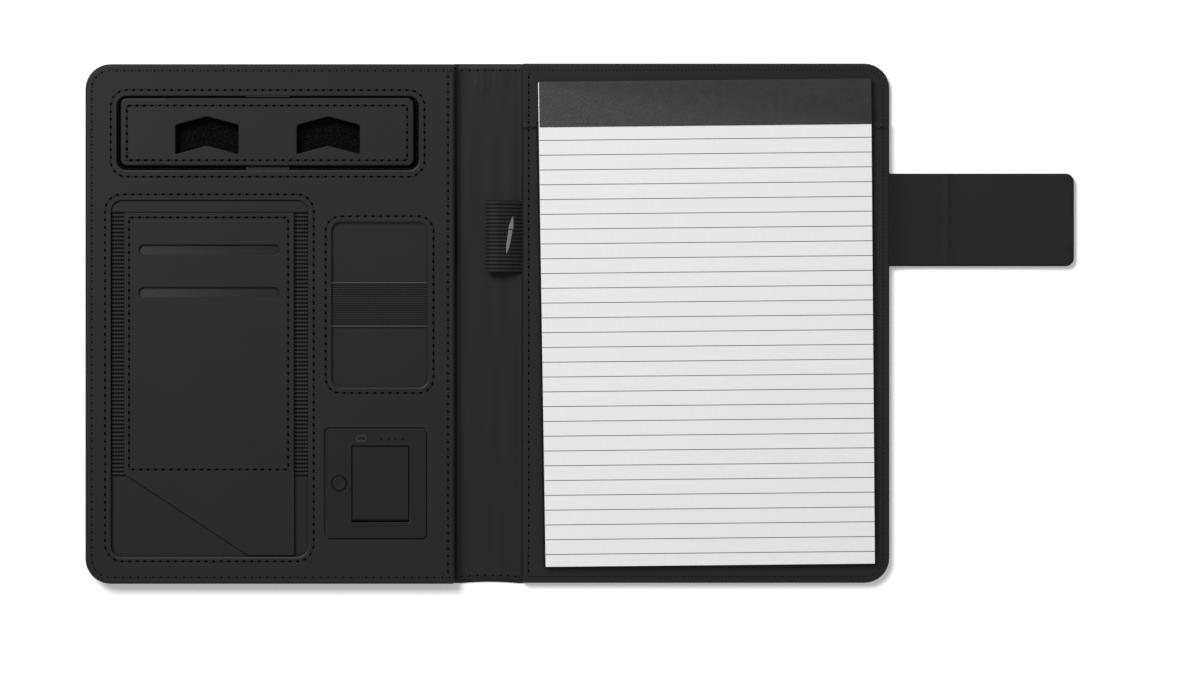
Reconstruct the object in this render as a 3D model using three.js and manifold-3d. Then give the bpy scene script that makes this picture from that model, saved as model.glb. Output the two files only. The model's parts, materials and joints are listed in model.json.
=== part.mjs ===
// Organiser folder with a built-in power bank, lying open and flat.
// Millimetres. X runs across the open folder, Y up the page, Z up from the table.
// Inside the file, pieces are placed from the left cover's lower outer corner.
import * as THREE from 'three';
import { mergeVertices } from 'three/addons/utils/BufferGeometryUtils.js';
import Module from 'manifold-3d';

const wasm = await Module();
wasm.setup();

// Note pad: the standard sheet size that the covers are made round
const padWidth = 145;
const padHeight = 210;
const padTurn = THREE.MathUtils.degToRad(0.45);
const padSpineMargin = 7.9;
const padEdgeMargin = 6.1;
const padEndMargin = 7.5;
const padRise = 0.1;
const padBackingThickness = 0.8;
const padStackThickness = 3;
const bindingPaper = 0.2;
const bindingFront = 18.6;
const bindingBack = 14;
const padStepRun = 6;
const padStepEase = 0.4;
const sheetThickness = 0.2;

// Covers and spine
const coverOverhang = 1;
const spineGap = 30;
const coverCornerRadius = 10.9;
const spineCornerRadius = 1.2;
const leather = 0.8;
const fit = 0.3;
const layerGap = 0.1;
const foldInset = 2.6;
const foldSlit = 0.88;
const liningEdgeInset = 0.4;
const spineEndInset = 0.6;
const spineBottomSag = 1.2;
const spineTopSag = 0.5;
const spineLining = 0.8;
const spineLiningInset = 0.8;

// Left cover stack
const leftBoard = 1.6;
const leftLining = 1.0;
const tuck = 2.8;

// Cable bay
const bayLeftMargin = 13.7;
const bayRightMargin = 15.5;
const bayTopMargin = 13.7;
const bayHeight = 32.4;
const bayCornerRadius = 4.2;
const bayMesh = 0.6;
const bayPanelThickness = 1.4;
const bayPanelSink = 0.1;
const bayPanelCornerRadius = 2.8;
const bayPanelLeftGap = 1.5;
const bayPanelRightGap = 2.1;
const bayPanelBottomGap = 2.2;
const bayPanelTopGap = 0.7;
const bayBandWidth = 19;
const bayBandThickness = 0.7;
const chevronOffset = 26.3;
const chevronWidth = 27.2;
const chevronSide = 12.5;
const chevronRise = 3.8;
const chevronBase = 5.0;

// Phone pocket
const windowRowGap = 12.8;
const columnGap = 7.0;
const phoneLeftMargin = 10.9;
const phoneBottomMargin = 11;
const phoneCornerRadius = 4.8;
const pocketBacking = 0.6;
const phoneSlack = 0.5;
const cardFloor = 0.3;
const cardSpace = 0.9;
const cardRim = 3;
const cardLinerLength = 98;
const pocketPly = 0.8;
const pocketSink = 0.4;
const pocketSideGap = 5.8;
const pocketTopGap = 5.2;
const cutRise = 35.8;
const cutRun = 54;
const gussetThickness = 0.7;
const slotSideMargin = 6.6;
const slotHeight = 4.3;
const slotPitch = 18.5;
const slotTopMargin = 14.1;

// Elastic band window
const bandWindowRightMargin = 11.6;
const bandWindowWidth = 41.5;
const bandWindowTopDrop = 9.8;
const bandWindowGap = 17;
const bandWindowCornerRadius = 3.8;
const bandWindowDepth = 2.9;
const bandBacking = 0.6;
const bandWidth = 19.7;
const bandThickness = 0.8;
const bandSink = 1.1;

// Battery and its leads
const batterySideGap = 2.8;
const batteryThickness = 3.4;
const batteryBottomGap = 19;
const batteryTopGap = 36.1;
const batteryCornerRadius = 2;
const leadRadius = 0.45;
const leadPitch = 3;
const leadReach = 5;
const leadTopDrop = 5.4;

// Power module
const moduleRightMargin = 11.5;
const moduleBottomMargin = 19;
const moduleCornerRadius = 2.4;
const buttonColumn = 12.4;
const moduleRightRail = 8.4;
const moduleBottomRail = 8;
const moduleTopRail = 8.4;
const bezelThickness = 1.2;
const bezelLip = 1;
const caseWall = 1;
const caseFloor = 0.9;
const boardThickness = 0.8;
const bossInset = 2.6;
const bossRadius = 2.4;
const pillarRadius = 1.8;
const screwRadius = 0.8;
const screwHeadRadius = 1.5;
const screwHeadHeight = 0.7;
const screwBite = 2.2;
const screwClearance = 0.2;
const buttonRadius = 3.1;
const buttonGap = 0.35;
const buttonFlangeRadius = 3.9;
const buttonFlange = 0.6;
const buttonFlangeDrop = 0.25;
const buttonProud = 0.1;
const buttonTravel = 0.5;
const buttonSlack = 0.15;
const buttonColumnShift = 0.5;
const switchSize = 4.5;
const switchHeight = 1.2;
const plungerRadius = 1.2;
const plungerHeight = 0.4;
const ledCount = 4;
const ledPitch = 3.03;
const ledPinRadius = 0.35;
const ledPinGap = 0.12;
const ledTopMargin = 5.1;
const ledRightMargin = 10.9;
const pipeMargin = 0.8;
const pipeThickness = 1.3;
const ledLength = 1.6;
const ledWidth = 0.8;
const ledHeight = 0.6;

// Flip-up port block
const blockLength = 32.3;
const blockWall = 0.8;
const blockFloorGap = 0.5;
const portSpacing = 1.2;
const portRecess = 0.9;
const outPortWidth = 13.1;
const outPortHeight = 5.7;
const outPortDepth = 13.5;
const outPortWall = 0.4;
const tongueWidth = 11;
const tongueThickness = 1.9;
const tongueLength = 8.5;
const tongueCarrier = 3;
const inPortWidth = 7.5;
const inPortHeight = 2.6;
const inPortDepth = 5.5;
const inPortWall = 0.4;
const portBoardLift = 1.4;
const blockHingeRadius = 1.3;
const hingeSolid = 1.3;
const hingePinRadius = 0.5;
const hingePinGap = 0.15;
const hingeEar = 1.6;
const hingePinReach = 1.2;
const ribbonWidth = 6;
const ribbonThickness = 0.2;
const ribbonLift = 0.05;
const ribbonStart = 4;
const ribbonReach = 14;

// Right cover
const rightBoard = 2.3;
const rightLining = 0.9;
const padPocketPly = 0.9;
const padPocketInset = 0.8;
const padPocketMouthDrop = 17.2;
const padPocketEase = 0.6;
const padPocketSlope = 2.5;

// Closing strap
const strapReach = 80.3;
const strapWidth = 39.8;
const strapTopMargin = 67.5;
const strapThickness = 2.4;
const strapBaseOffset = 1.9;
const strapFoldOffset = 25.6;
const strapBaseTop = 3.3;
const strapFoldRise = 0.8;
const strapSlit = 0.2;
const strapTipLift = 0.15;
const strapTipRadius = 3.6;
const strapTipOuter = 1.0;
const strapMagnetSkin = 0.3;
const anchorThickness = 1.6;
const anchorLength = 22;
const anchorLift = 0.2;
const magnetWidth = 20;
const magnetLength = 28;
const strapMagnetThickness = 0.9;
const coverMagnetThickness = 1.4;
const strapMagnetReach = 30.2;

// Pen loop
const loopLength = 31.1;
const loopTopMargin = 59;
const loopRadius = 4.2;
const loopWall = 1;
const loopReach = 9.5;
const loopTail = 0.9;
const loopTailReach = 1;
const loopJoinAngle = THREE.MathUtils.degToRad(-40);

// Regions seen from above: a rectangle with its left and right corner radii
const region = (left, bottom, right, top, leftRadius = 0, rightRadius = leftRadius) => (
  { left, bottom, right, top, leftRadius, rightRadius }
);

const grow = (area, by) => region(
  area.left - by,
  area.bottom - by,
  area.right + by,
  area.top + by,
  area.leftRadius > 0 ? Math.max(area.leftRadius + by, 0) : 0,
  area.rightRadius > 0 ? Math.max(area.rightRadius + by, 0) : 0,
);

const midX = (area) => (area.left + area.right) / 2;

// Where everything lies
const coverHeight = padHeight + 2 * padEndMargin;
const rightCoverWidth = padSpineMargin + padWidth + padEdgeMargin;
const leftCoverWidth = rightCoverWidth + coverOverhang;
const spineLeftAxis = leftCoverWidth + foldInset;
const rightCoverLeft = leftCoverWidth + spineGap;
const spineRightAxis = rightCoverLeft - foldInset;
const rightCoverRight = rightCoverLeft + rightCoverWidth;
const totalWidth = rightCoverRight + strapReach;

const leftCover = region(0, 0, leftCoverWidth, coverHeight, coverCornerRadius, spineCornerRadius);
const rightCover = region(
  rightCoverLeft, 0, rightCoverRight, coverHeight, spineCornerRadius, coverCornerRadius,
);

const blockWidth = outPortWidth + inPortWidth + 3 * portSpacing;
const moduleWidth = buttonColumn + blockWidth + moduleRightRail;
const moduleHeight = moduleBottomRail + blockLength + moduleTopRail;
const moduleRight = leftCoverWidth - moduleRightMargin;
const powerModule = region(
  moduleRight - moduleWidth,
  moduleBottomMargin,
  moduleRight,
  moduleBottomMargin + moduleHeight,
  moduleCornerRadius,
);
const block = region(
  powerModule.left + buttonColumn,
  powerModule.bottom + moduleBottomRail,
  powerModule.left + buttonColumn + blockWidth,
  powerModule.top - moduleTopRail,
);
const moduleCase = grow(powerModule, -bezelLip);
const caseInside = grow(moduleCase, -caseWall);

const bayTop = coverHeight - bayTopMargin;
const cableBay = region(
  bayLeftMargin, bayTop - bayHeight, leftCoverWidth - bayRightMargin, bayTop, bayCornerRadius,
);
const bayPanel = region(
  cableBay.left + bayPanelLeftGap,
  cableBay.bottom + bayPanelBottomGap,
  cableBay.right - bayPanelRightGap,
  cableBay.top - bayPanelTopGap,
  bayPanelCornerRadius,
);
const bayBandLeft = midX(cableBay) - bayBandWidth / 2;
const bayBandRight = midX(cableBay) + bayBandWidth / 2;

const phoneWindow = region(
  phoneLeftMargin,
  phoneBottomMargin,
  powerModule.left - columnGap,
  cableBay.bottom - windowRowGap,
  phoneCornerRadius,
);
const pocketFront = region(
  phoneWindow.left + pocketSideGap,
  phoneWindow.bottom + fit,
  phoneWindow.right - pocketSideGap,
  phoneWindow.top - pocketTopGap,
);
const gussetBottom = phoneWindow.bottom + cutRise;
const gussetTop = pocketFront.top - fit;
const gussetUnder = tuck - fit;

const bandWindowRight = leftCoverWidth - bandWindowRightMargin;
const bandWindow = region(
  bandWindowRight - bandWindowWidth,
  powerModule.top + bandWindowGap,
  bandWindowRight,
  phoneWindow.top - bandWindowTopDrop,
  bandWindowCornerRadius,
);
const bandBottom = (bandWindow.bottom + bandWindow.top - bandWidth) / 2;

const battery = region(
  phoneWindow.left + batterySideGap,
  phoneWindow.bottom + batteryBottomGap,
  phoneWindow.right - batterySideGap,
  phoneWindow.top - batteryTopGap,
  batteryCornerRadius,
);

// Heights in the left cover, worked out from the thicker of its two stacks
const leftBoardTop = leather + leftBoard;
const blockHeight = outPortHeight + 2 * blockWall + 2 * layerGap;
const moduleStack = leather + caseFloor + blockFloorGap + blockHeight - bezelThickness;
const pocketStack = leftBoardTop + batteryThickness + 2 * layerGap + pocketBacking + phoneSlack
  + cardFloor + cardSpace + pocketPly + pocketSink - leftLining;
const coreTop = Math.max(moduleStack, pocketStack);
const leftTop = coreTop + leftLining;

const pocketPlyBase = leftTop - pocketSink - pocketPly;
const cardFloorBase = pocketPlyBase - cardSpace - cardFloor;
const pocketFloor = cardFloorBase - phoneSlack - pocketBacking;
const gussetTopZ = pocketPlyBase - layerGap;
const gussetBaseZ = gussetTopZ - gussetThickness;

const bayPanelTopZ = leftTop - bayPanelSink;
const bayPanelBaseZ = bayPanelTopZ - bayPanelThickness;
const bayBandTopZ = bayPanelBaseZ - layerGap;
const bayBandBaseZ = bayBandTopZ - bayBandThickness;

const bandFloor = leftTop - bandWindowDepth;
const bandTopZ = leftTop - bandSink;
const bandBaseZ = bandTopZ - bandThickness;

const bezelTop = coreTop + bezelThickness;
const blockBase = bezelTop - blockHeight;
const flangeTop = coreTop - buttonFlangeDrop;
const flangeBase = flangeTop - buttonFlange;
const plungerTop = flangeBase - buttonTravel - buttonSlack;
const boardTopZ = plungerTop - plungerHeight - switchHeight;
const boardBaseZ = boardTopZ - boardThickness;
const leadZ = leftTop - leadTopDrop;

// Heights in the right cover
const rightBoardTop = leather + rightBoard;
const rightTop = rightBoardTop + rightLining;
const padBackingBase = rightTop + padRise + bindingPaper + layerGap;
const padBackingTop = padBackingBase + padBackingThickness;
const padPocketRoof = padBackingTop + fit;
const padPocketTop = padPocketRoof + padPocketPly;
const padStackBase = padPocketTop + fit;
const padStackTop = padStackBase + padStackThickness;
const padStepDrop = padStackBase - padBackingTop - layerGap;

const padCentreX = rightCoverLeft + padSpineMargin + padWidth / 2;
const padCentreY = coverHeight / 2;
const padPocketMouth = padCentreY + padHeight / 2 - padPocketMouthDrop;
const padSwing = Math.sin(padTurn);
const padPocketHalf = padWidth / 2 + (padHeight / 2) * padSwing + padPocketEase;
const padPocketBottom = padCentreY - padHeight / 2 - (padWidth / 2) * padSwing - padPocketEase;

const strapBaseX = rightCoverRight + strapBaseOffset;
const strapFoldX = rightCoverRight + strapFoldOffset;
const strapFoldTop = strapBaseTop + strapFoldRise;
const strapCentreY = coverHeight - strapTopMargin;
const strapBottom = strapCentreY - strapWidth / 2;
const strapTop = strapCentreY + strapWidth / 2;
const strapTipLength = strapReach - strapFoldOffset;
const strapTilt = Math.asin((strapFoldTop - strapThickness - strapTipLift) / strapTipLength);
const strapFoldXWhenShut = strapBaseX;
const coverMagnetX = spineRightAxis + spineLeftAxis - (strapFoldXWhenShut - strapMagnetReach);

// Materials
const finish = (color, roughness, metalness = 0) => (
  new THREE.MeshStandardMaterial({ color, roughness, metalness })
);
const leatherFinish = finish(0x2b2c2e, 0.62);
const liningFinish = finish(0x303133, 0.6);
const boardFinish = finish(0x8d8577, 0.9);
const foamFinish = finish(0x3a3a3c, 0.95);
const meshFinish = finish(0x111112, 0.95);
const elasticFinish = finish(0x1c1c1e, 0.85);
const paperFinish = finish(0xf1f1ef, 0.8);
const bindingFinish = finish(0x3c3d3f, 0.75);
const plasticFinish = finish(0x232426, 0.5);
const circuitFinish = finish(0x1d5b36, 0.6);
const steelFinish = finish(0xb8babd, 0.3, 1);
const magnetFinish = finish(0x9a9c9f, 0.35, 1);
const batteryFinish = finish(0xa9adb3, 0.45, 0.3);
const lightFinish = finish(0xe8eef2, 0.25);
const redLeadFinish = finish(0xa5231d, 0.5);

// Solids
function toSolid(geometry) {
  geometry.deleteAttribute('normal');
  geometry.deleteAttribute('uv');
  const merged = mergeVertices(geometry, 1e-5);
  return new wasm.Manifold(new wasm.Mesh({
    numProp: 3,
    vertProperties: merged.attributes.position.array,
    triVerts: merged.index.array,
  }));
}

function toGeometry(solid) {
  const mesh = solid.getMesh();
  const geometry = new THREE.BufferGeometry();
  geometry.setAttribute('position', new THREE.BufferAttribute(mesh.vertProperties, 3));
  geometry.setIndex(new THREE.BufferAttribute(mesh.triVerts, 1));
  geometry.computeVertexNormals();
  return geometry;
}

function corner(shape, x, y, radius, startAngle) {
  if (radius > 0.05) {
    shape.absarc(x, y, radius, startAngle, startAngle + Math.PI / 2);
  } else {
    shape.lineTo(x, y);
  }
}

function outline(area) {
  const limit = Math.min(area.right - area.left, area.top - area.bottom) / 2 - 0.05;
  const leftRadius = Math.min(area.leftRadius, limit);
  const rightRadius = Math.min(area.rightRadius, limit);
  const shape = new THREE.Shape();
  shape.moveTo(area.left + leftRadius, area.bottom);
  shape.lineTo(area.right - rightRadius, area.bottom);
  corner(shape, area.right - rightRadius, area.bottom + rightRadius, rightRadius, -Math.PI / 2);
  shape.lineTo(area.right, area.top - rightRadius);
  corner(shape, area.right - rightRadius, area.top - rightRadius, rightRadius, 0);
  shape.lineTo(area.left + leftRadius, area.top);
  corner(shape, area.left + leftRadius, area.top - leftRadius, leftRadius, Math.PI / 2);
  shape.lineTo(area.left, area.bottom + leftRadius);
  corner(shape, area.left + leftRadius, area.bottom + leftRadius, leftRadius, Math.PI);
  return shape;
}

function extrude(shape, depth) {
  return new THREE.ExtrudeGeometry(shape, { depth, bevelEnabled: false, curveSegments: 3 });
}

function plate(shape, base, top) {
  return toSolid(extrude(shape, top - base).translate(0, 0, base));
}

const slab = (area, base, top) => plate(outline(area), base, top);

const bar = (left, bottom, base, right, top, height) => (
  slab(region(left, bottom, right, top), base, height)
);

// A profile drawn in Y and Z, drawn out along X
function alongX(profile, left, right) {
  const turned = new THREE.Matrix4().makeBasis(
    new THREE.Vector3(0, 1, 0), new THREE.Vector3(0, 0, 1), new THREE.Vector3(1, 0, 0),
  );
  return toSolid(extrude(profile, right - left).applyMatrix4(turned).translate(left, 0, 0));
}

// A profile drawn in X and Z, drawn out along Y
function alongY(profile, bottom, top) {
  const turned = new THREE.Matrix4().makeBasis(
    new THREE.Vector3(1, 0, 0), new THREE.Vector3(0, 0, 1), new THREE.Vector3(0, -1, 0),
  );
  return toSolid(extrude(profile, top - bottom).applyMatrix4(turned).translate(0, top, 0));
}

const polygon = (points) => new THREE.Shape(points.map(([x, y]) => new THREE.Vector2(x, y)));

function post(x, y, base, top, radius, sides = 14) {
  const geometry = new THREE.CylinderGeometry(radius, radius, top - base, sides);
  return toSolid(geometry.rotateX(Math.PI / 2).translate(x, y, (base + top) / 2));
}

function rodAlongX(left, right, y, z, radius, sides = 12) {
  const geometry = new THREE.CylinderGeometry(radius, radius, right - left, sides);
  return toSolid(geometry.rotateZ(Math.PI / 2).translate((left + right) / 2, y, z));
}

// A slab whose foot spreads outwards on all sides
function sloped(area, base, top, spread) {
  const geometry = extrude(outline(area), top - base).translate(0, 0, base);
  const centreX = midX(area);
  const centreY = (area.bottom + area.top) / 2;
  const widen = 1 + (2 * spread) / (area.right - area.left);
  const lengthen = 1 + (2 * spread) / (area.top - area.bottom);
  const corners = geometry.attributes.position;
  for (let index = 0; index < corners.count; index += 1) {
    if (corners.getZ(index) < (base + top) / 2) {
      corners.setX(index, centreX + (corners.getX(index) - centreX) * widen);
      corners.setY(index, centreY + (corners.getY(index) - centreY) * lengthen);
    }
  }
  return toSolid(geometry);
}

function addPiece(group, name, solid, material) {
  const mesh = new THREE.Mesh(toGeometry(solid), material);
  mesh.name = name;
  group.add(mesh);
}

const above = coreTop + 5;

// Left cover: wrapped leather, board, foam core and the face lining with its windows
function addLeftCover(group) {
  const inside = grow(leftCover, -leather - fit);
  const foldStrip = bar(
    leftCover.right - leather,
    spineEndInset,
    0,
    spineLeftAxis - foldSlit / 2,
    coverHeight - spineEndInset,
    leather,
  );
  const skin = slab(leftCover, 0, coreTop)
    .subtract(slab(grow(leftCover, -leather), leather, above))
    .add(foldStrip);
  addPiece(group, 'left_outer_skin', skin, leatherFinish);

  const moduleHole = grow(moduleCase, fit);
  const magnet = region(
    coverMagnetX - magnetWidth / 2,
    strapCentreY - magnetLength / 2,
    coverMagnetX + magnetWidth / 2,
    strapCentreY + magnetLength / 2,
  );
  const magnetHole = grow(magnet, fit);
  const board = slab(inside, leather, leftBoardTop)
    .subtract(slab(moduleHole, 0, above))
    .subtract(slab(magnetHole, 0, above));
  addPiece(group, 'left_board', board, boardFinish);

  const magnetBase = leather + (leftBoard - coverMagnetThickness) / 2;
  const magnetPlate = slab(magnet, magnetBase, magnetBase + coverMagnetThickness);
  addPiece(group, 'cover_magnet', magnetPlate, magnetFinish);

  addPiece(group, 'left_core', leftCore(inside, moduleHole), foamFinish);

  const lining = slab(grow(leftCover, -liningEdgeInset), coreTop, leftTop)
    .subtract(slab(cableBay, 0, above))
    .subtract(slab(phoneWindow, 0, above))
    .subtract(slab(bandWindow, 0, above))
    .subtract(slab(grow(powerModule, fit), 0, above));
  addPiece(group, 'left_lining', lining, liningFinish);
}

function leftCore(inside, moduleHole) {
  const bandSlot = bar(
    bayBandLeft - fit,
    cableBay.bottom - tuck - fit,
    bayBandBaseZ - layerGap,
    bayBandRight + fit,
    cableBay.top + tuck + fit,
    above,
  );
  const gussetSlot = bar(
    phoneWindow.left - tuck - fit,
    gussetBottom - fit,
    gussetBaseZ - layerGap,
    phoneWindow.right + tuck + fit,
    gussetTop + fit,
    above,
  );
  const elasticSlot = bar(
    bandWindow.left - tuck - fit,
    bandBottom - fit,
    bandBaseZ - layerGap,
    bandWindow.right + tuck + fit,
    bandBottom + bandWidth + fit,
    above,
  );
  return slab(inside, leftBoardTop, coreTop)
    .subtract(slab(cableBay, 0, above))
    .subtract(bandSlot)
    .subtract(slab(phoneWindow, pocketFloor, above))
    .subtract(slab(grow(battery, fit), 0, above))
    .subtract(gussetSlot)
    .subtract(slab(bandWindow, bandFloor, above))
    .subtract(elasticSlot)
    .subtract(slab(moduleHole, 0, above))
    .subtract(leadChannel(battery.right, moduleCase.left));
}

// Cable bay: knit liner, centre band, fixed centre panel and two lifting wings
function chevron(centreX) {
  const base = bayPanel.bottom + chevronBase;
  const half = chevronWidth / 2;
  return polygon([
    [centreX - half, base],
    [centreX, base + chevronRise],
    [centreX + half, base],
    [centreX + half, base + chevronSide],
    [centreX, base + chevronSide + chevronRise],
    [centreX - half, base + chevronSide],
  ]);
}

function bayWing(area, side) {
  const wing = slab(area, bayPanelBaseZ, bayPanelTopZ);
  return wing.subtract(plate(chevron(midX(cableBay) + side * chevronOffset), 0, above));
}

function addCableBay(group) {
  const liner = slab(grow(cableBay, -fit), leftBoardTop, bayPanelBaseZ - fit)
    .subtract(slab(grow(cableBay, -fit - bayMesh), leftBoardTop + bayMesh, above))
    .subtract(bar(
      bayBandLeft - fit,
      cableBay.bottom,
      bayBandBaseZ - fit,
      bayBandRight + fit,
      cableBay.top,
      above,
    ));
  addPiece(group, 'cable_bay_liner', liner, meshFinish);

  const band = bar(
    bayBandLeft,
    cableBay.bottom - tuck,
    bayBandBaseZ,
    bayBandRight,
    cableBay.top + tuck,
    bayBandTopZ,
  );
  addPiece(group, 'cable_centre_band', band, elasticFinish);

  const centre = bar(
    bayBandLeft + fit,
    bayPanel.bottom,
    bayPanelBaseZ,
    bayBandRight - fit,
    bayPanel.top,
    bayPanelTopZ,
  );
  addPiece(group, 'cable_panel_centre', centre, liningFinish);

  const leftWing = region(
    bayPanel.left, bayPanel.bottom, bayBandLeft, bayPanel.top, bayPanelCornerRadius, 0,
  );
  const rightWing = region(
    bayBandRight, bayPanel.bottom, bayPanel.right, bayPanel.top, 0, bayPanelCornerRadius,
  );
  addPiece(group, 'cable_wing_left', bayWing(leftWing, -1), liningFinish);
  addPiece(group, 'cable_wing_right', bayWing(rightWing, 1), liningFinish);
}

// Phone pocket: backing, card liner, front with two card slots, and elastic gussets
function pocketFrontSolid() {
  const face = polygon([
    [pocketFront.left + cutRun, pocketFront.bottom],
    [pocketFront.right, pocketFront.bottom],
    [pocketFront.right, pocketFront.top],
    [pocketFront.left, pocketFront.top],
    [pocketFront.left, phoneWindow.bottom + cutRise],
  ]);
  let front = plate(face, pocketPlyBase, pocketPlyBase + pocketPly);
  for (let row = 0; row < 2; row += 1) {
    const slotTop = pocketFront.top - slotTopMargin - row * slotPitch;
    const slot = region(
      pocketFront.left + slotSideMargin,
      slotTop - slotHeight,
      pocketFront.right - slotSideMargin,
      slotTop,
      slotHeight / 2,
    );
    front = front.subtract(slab(slot, 0, above));
  }
  return front;
}

function addPhonePocket(group) {
  const backing = slab(grow(phoneWindow, -fit), pocketFloor, pocketFloor + pocketBacking);
  addPiece(group, 'pocket_backing', backing, liningFinish);

  const cardTray = region(
    pocketFront.left + tuck + fit,
    pocketFront.top - layerGap - cardLinerLength,
    pocketFront.right - tuck - fit,
    pocketFront.top - layerGap,
  );
  const cardLiner = slab(cardTray, cardFloorBase, pocketPlyBase)
    .subtract(slab(grow(cardTray, -cardRim), cardFloorBase + cardFloor, above));
  addPiece(group, 'card_liner', cardLiner, liningFinish);
  addPiece(group, 'pocket_front', pocketFrontSolid(), liningFinish);

  const leftGusset = bar(
    phoneWindow.left - tuck,
    gussetBottom,
    gussetBaseZ,
    pocketFront.left + gussetUnder,
    gussetTop,
    gussetTopZ,
  );
  const rightGusset = bar(
    pocketFront.right - gussetUnder,
    gussetBottom,
    gussetBaseZ,
    phoneWindow.right + tuck,
    gussetTop,
    gussetTopZ,
  );
  addPiece(group, 'gusset_left', leftGusset, elasticFinish);
  addPiece(group, 'gusset_right', rightGusset, elasticFinish);
}

function addBandWindow(group) {
  const backing = slab(grow(bandWindow, -fit), bandFloor, bandFloor + bandBacking);
  addPiece(group, 'band_window_backing', backing, liningFinish);
  const band = bar(
    bandWindow.left - tuck,
    bandBottom,
    bandBaseZ,
    bandWindow.right + tuck,
    bandBottom + bandWidth,
    bandTopZ,
  );
  addPiece(group, 'elastic_band', band, elasticFinish);
}

// Battery behind the phone pocket, and its two leads to the circuit board
const leadY = [0, 1].map((lead) => powerModule.bottom + moduleHeight / 2 + lead * leadPitch);

function leadChannel(left, right) {
  const reach = leadRadius + fit;
  return bar(
    left - fit,
    leadY[0] - reach,
    leadZ - reach,
    right + caseWall + fit,
    leadY[1] + reach,
    leadZ + reach,
  );
}

function addBattery(group) {
  const cellBase = leftBoardTop + layerGap;
  const cell = slab(battery, cellBase, cellBase + batteryThickness);
  addPiece(group, 'battery_cell', cell, batteryFinish);
  const names = ['battery_lead_positive', 'battery_lead_negative'];
  names.forEach((name, lead) => {
    const wire = rodAlongX(
      battery.right + fit, moduleCase.left + leadReach, leadY[lead], leadZ, leadRadius, 8,
    );
    addPiece(group, name, wire, lead === 0 ? redLeadFinish : plasticFinish);
  });
}

// Power module: case, circuit board, button, lights and the bezel screwed down over them
const screwPlaces = [
  [caseInside.left + bossInset, caseInside.bottom + bossInset],
  [caseInside.right - bossInset, caseInside.bottom + bossInset],
  [caseInside.right - bossInset, caseInside.top - bossInset],
  [caseInside.left + bossInset, caseInside.top - bossInset],
];
const caseFloorTop = leather + caseFloor;
const buttonX = powerModule.left + buttonColumn / 2 + buttonColumnShift;
const buttonY = (powerModule.bottom + powerModule.top) / 2;
const ledY = powerModule.top - ledTopMargin;
const ledPlaces = Array.from({ length: ledCount }, (unused, led) => (
  powerModule.right - ledRightMargin - (ledCount - 1 - led) * ledPitch
));
const hingeY = block.bottom + blockHingeRadius;
const hingeZ = bezelTop - blockHingeRadius;
const blockOpening = grow(block, fit);

function caseSolid() {
  let shell = slab(moduleCase, leather, coreTop)
    .subtract(slab(caseInside, caseFloorTop, above));
  for (const [x, y] of screwPlaces) {
    shell = shell
      .add(post(x, y, leather + caseFloor / 2, boardBaseZ, bossRadius))
      .subtract(post(x, y, 0, caseFloorTop, screwHeadRadius + screwClearance))
      .subtract(post(x, y, 0, above, screwRadius + screwClearance));
  }
  return shell.subtract(leadChannel(battery.right, moduleCase.left));
}

function bezelSolid() {
  let bezel = slab(powerModule, coreTop, bezelTop);
  for (const [x, y] of screwPlaces) {
    bezel = bezel
      .add(post(x, y, boardTopZ + layerGap, coreTop + bezelThickness / 2, pillarRadius))
      .subtract(post(x, y, 0, boardTopZ + screwBite + fit, screwRadius + screwClearance));
  }
  const ears = [
    [blockOpening.left - hingeEar, blockOpening.left],
    [blockOpening.right, blockOpening.right + hingeEar],
  ];
  for (const [left, right] of ears) {
    bezel = bezel.add(bar(
      left,
      hingeY - blockHingeRadius,
      hingeZ - blockHingeRadius,
      right,
      hingeY + blockHingeRadius,
      coreTop + bezelThickness / 2,
    ));
  }
  const pinHole = rodAlongX(
    blockOpening.left - hingeEar - 1,
    blockOpening.right + hingeEar + 1,
    hingeY,
    hingeZ,
    hingePinRadius + hingePinGap,
  );
  bezel = bezel
    .subtract(slab(blockOpening, 0, above))
    .subtract(pinHole)
    .subtract(post(buttonX, buttonY, 0, above, buttonRadius + buttonGap, 24));
  for (const x of ledPlaces) {
    bezel = bezel.subtract(post(x, ledY, 0, above, ledPinRadius + ledPinGap, 8));
  }
  return bezel;
}

function circuitBoardSolid() {
  const blockWay = bar(
    block.left - 2 * fit,
    moduleCase.bottom,
    0,
    block.right + 2 * fit,
    block.top + 2 * fit,
    above,
  );
  let board = slab(grow(caseInside, -fit), boardBaseZ, boardTopZ).subtract(blockWay);
  for (const [x, y] of screwPlaces) {
    board = board.subtract(post(x, y, 0, above, screwRadius + screwClearance));
  }
  return board;
}

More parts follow.
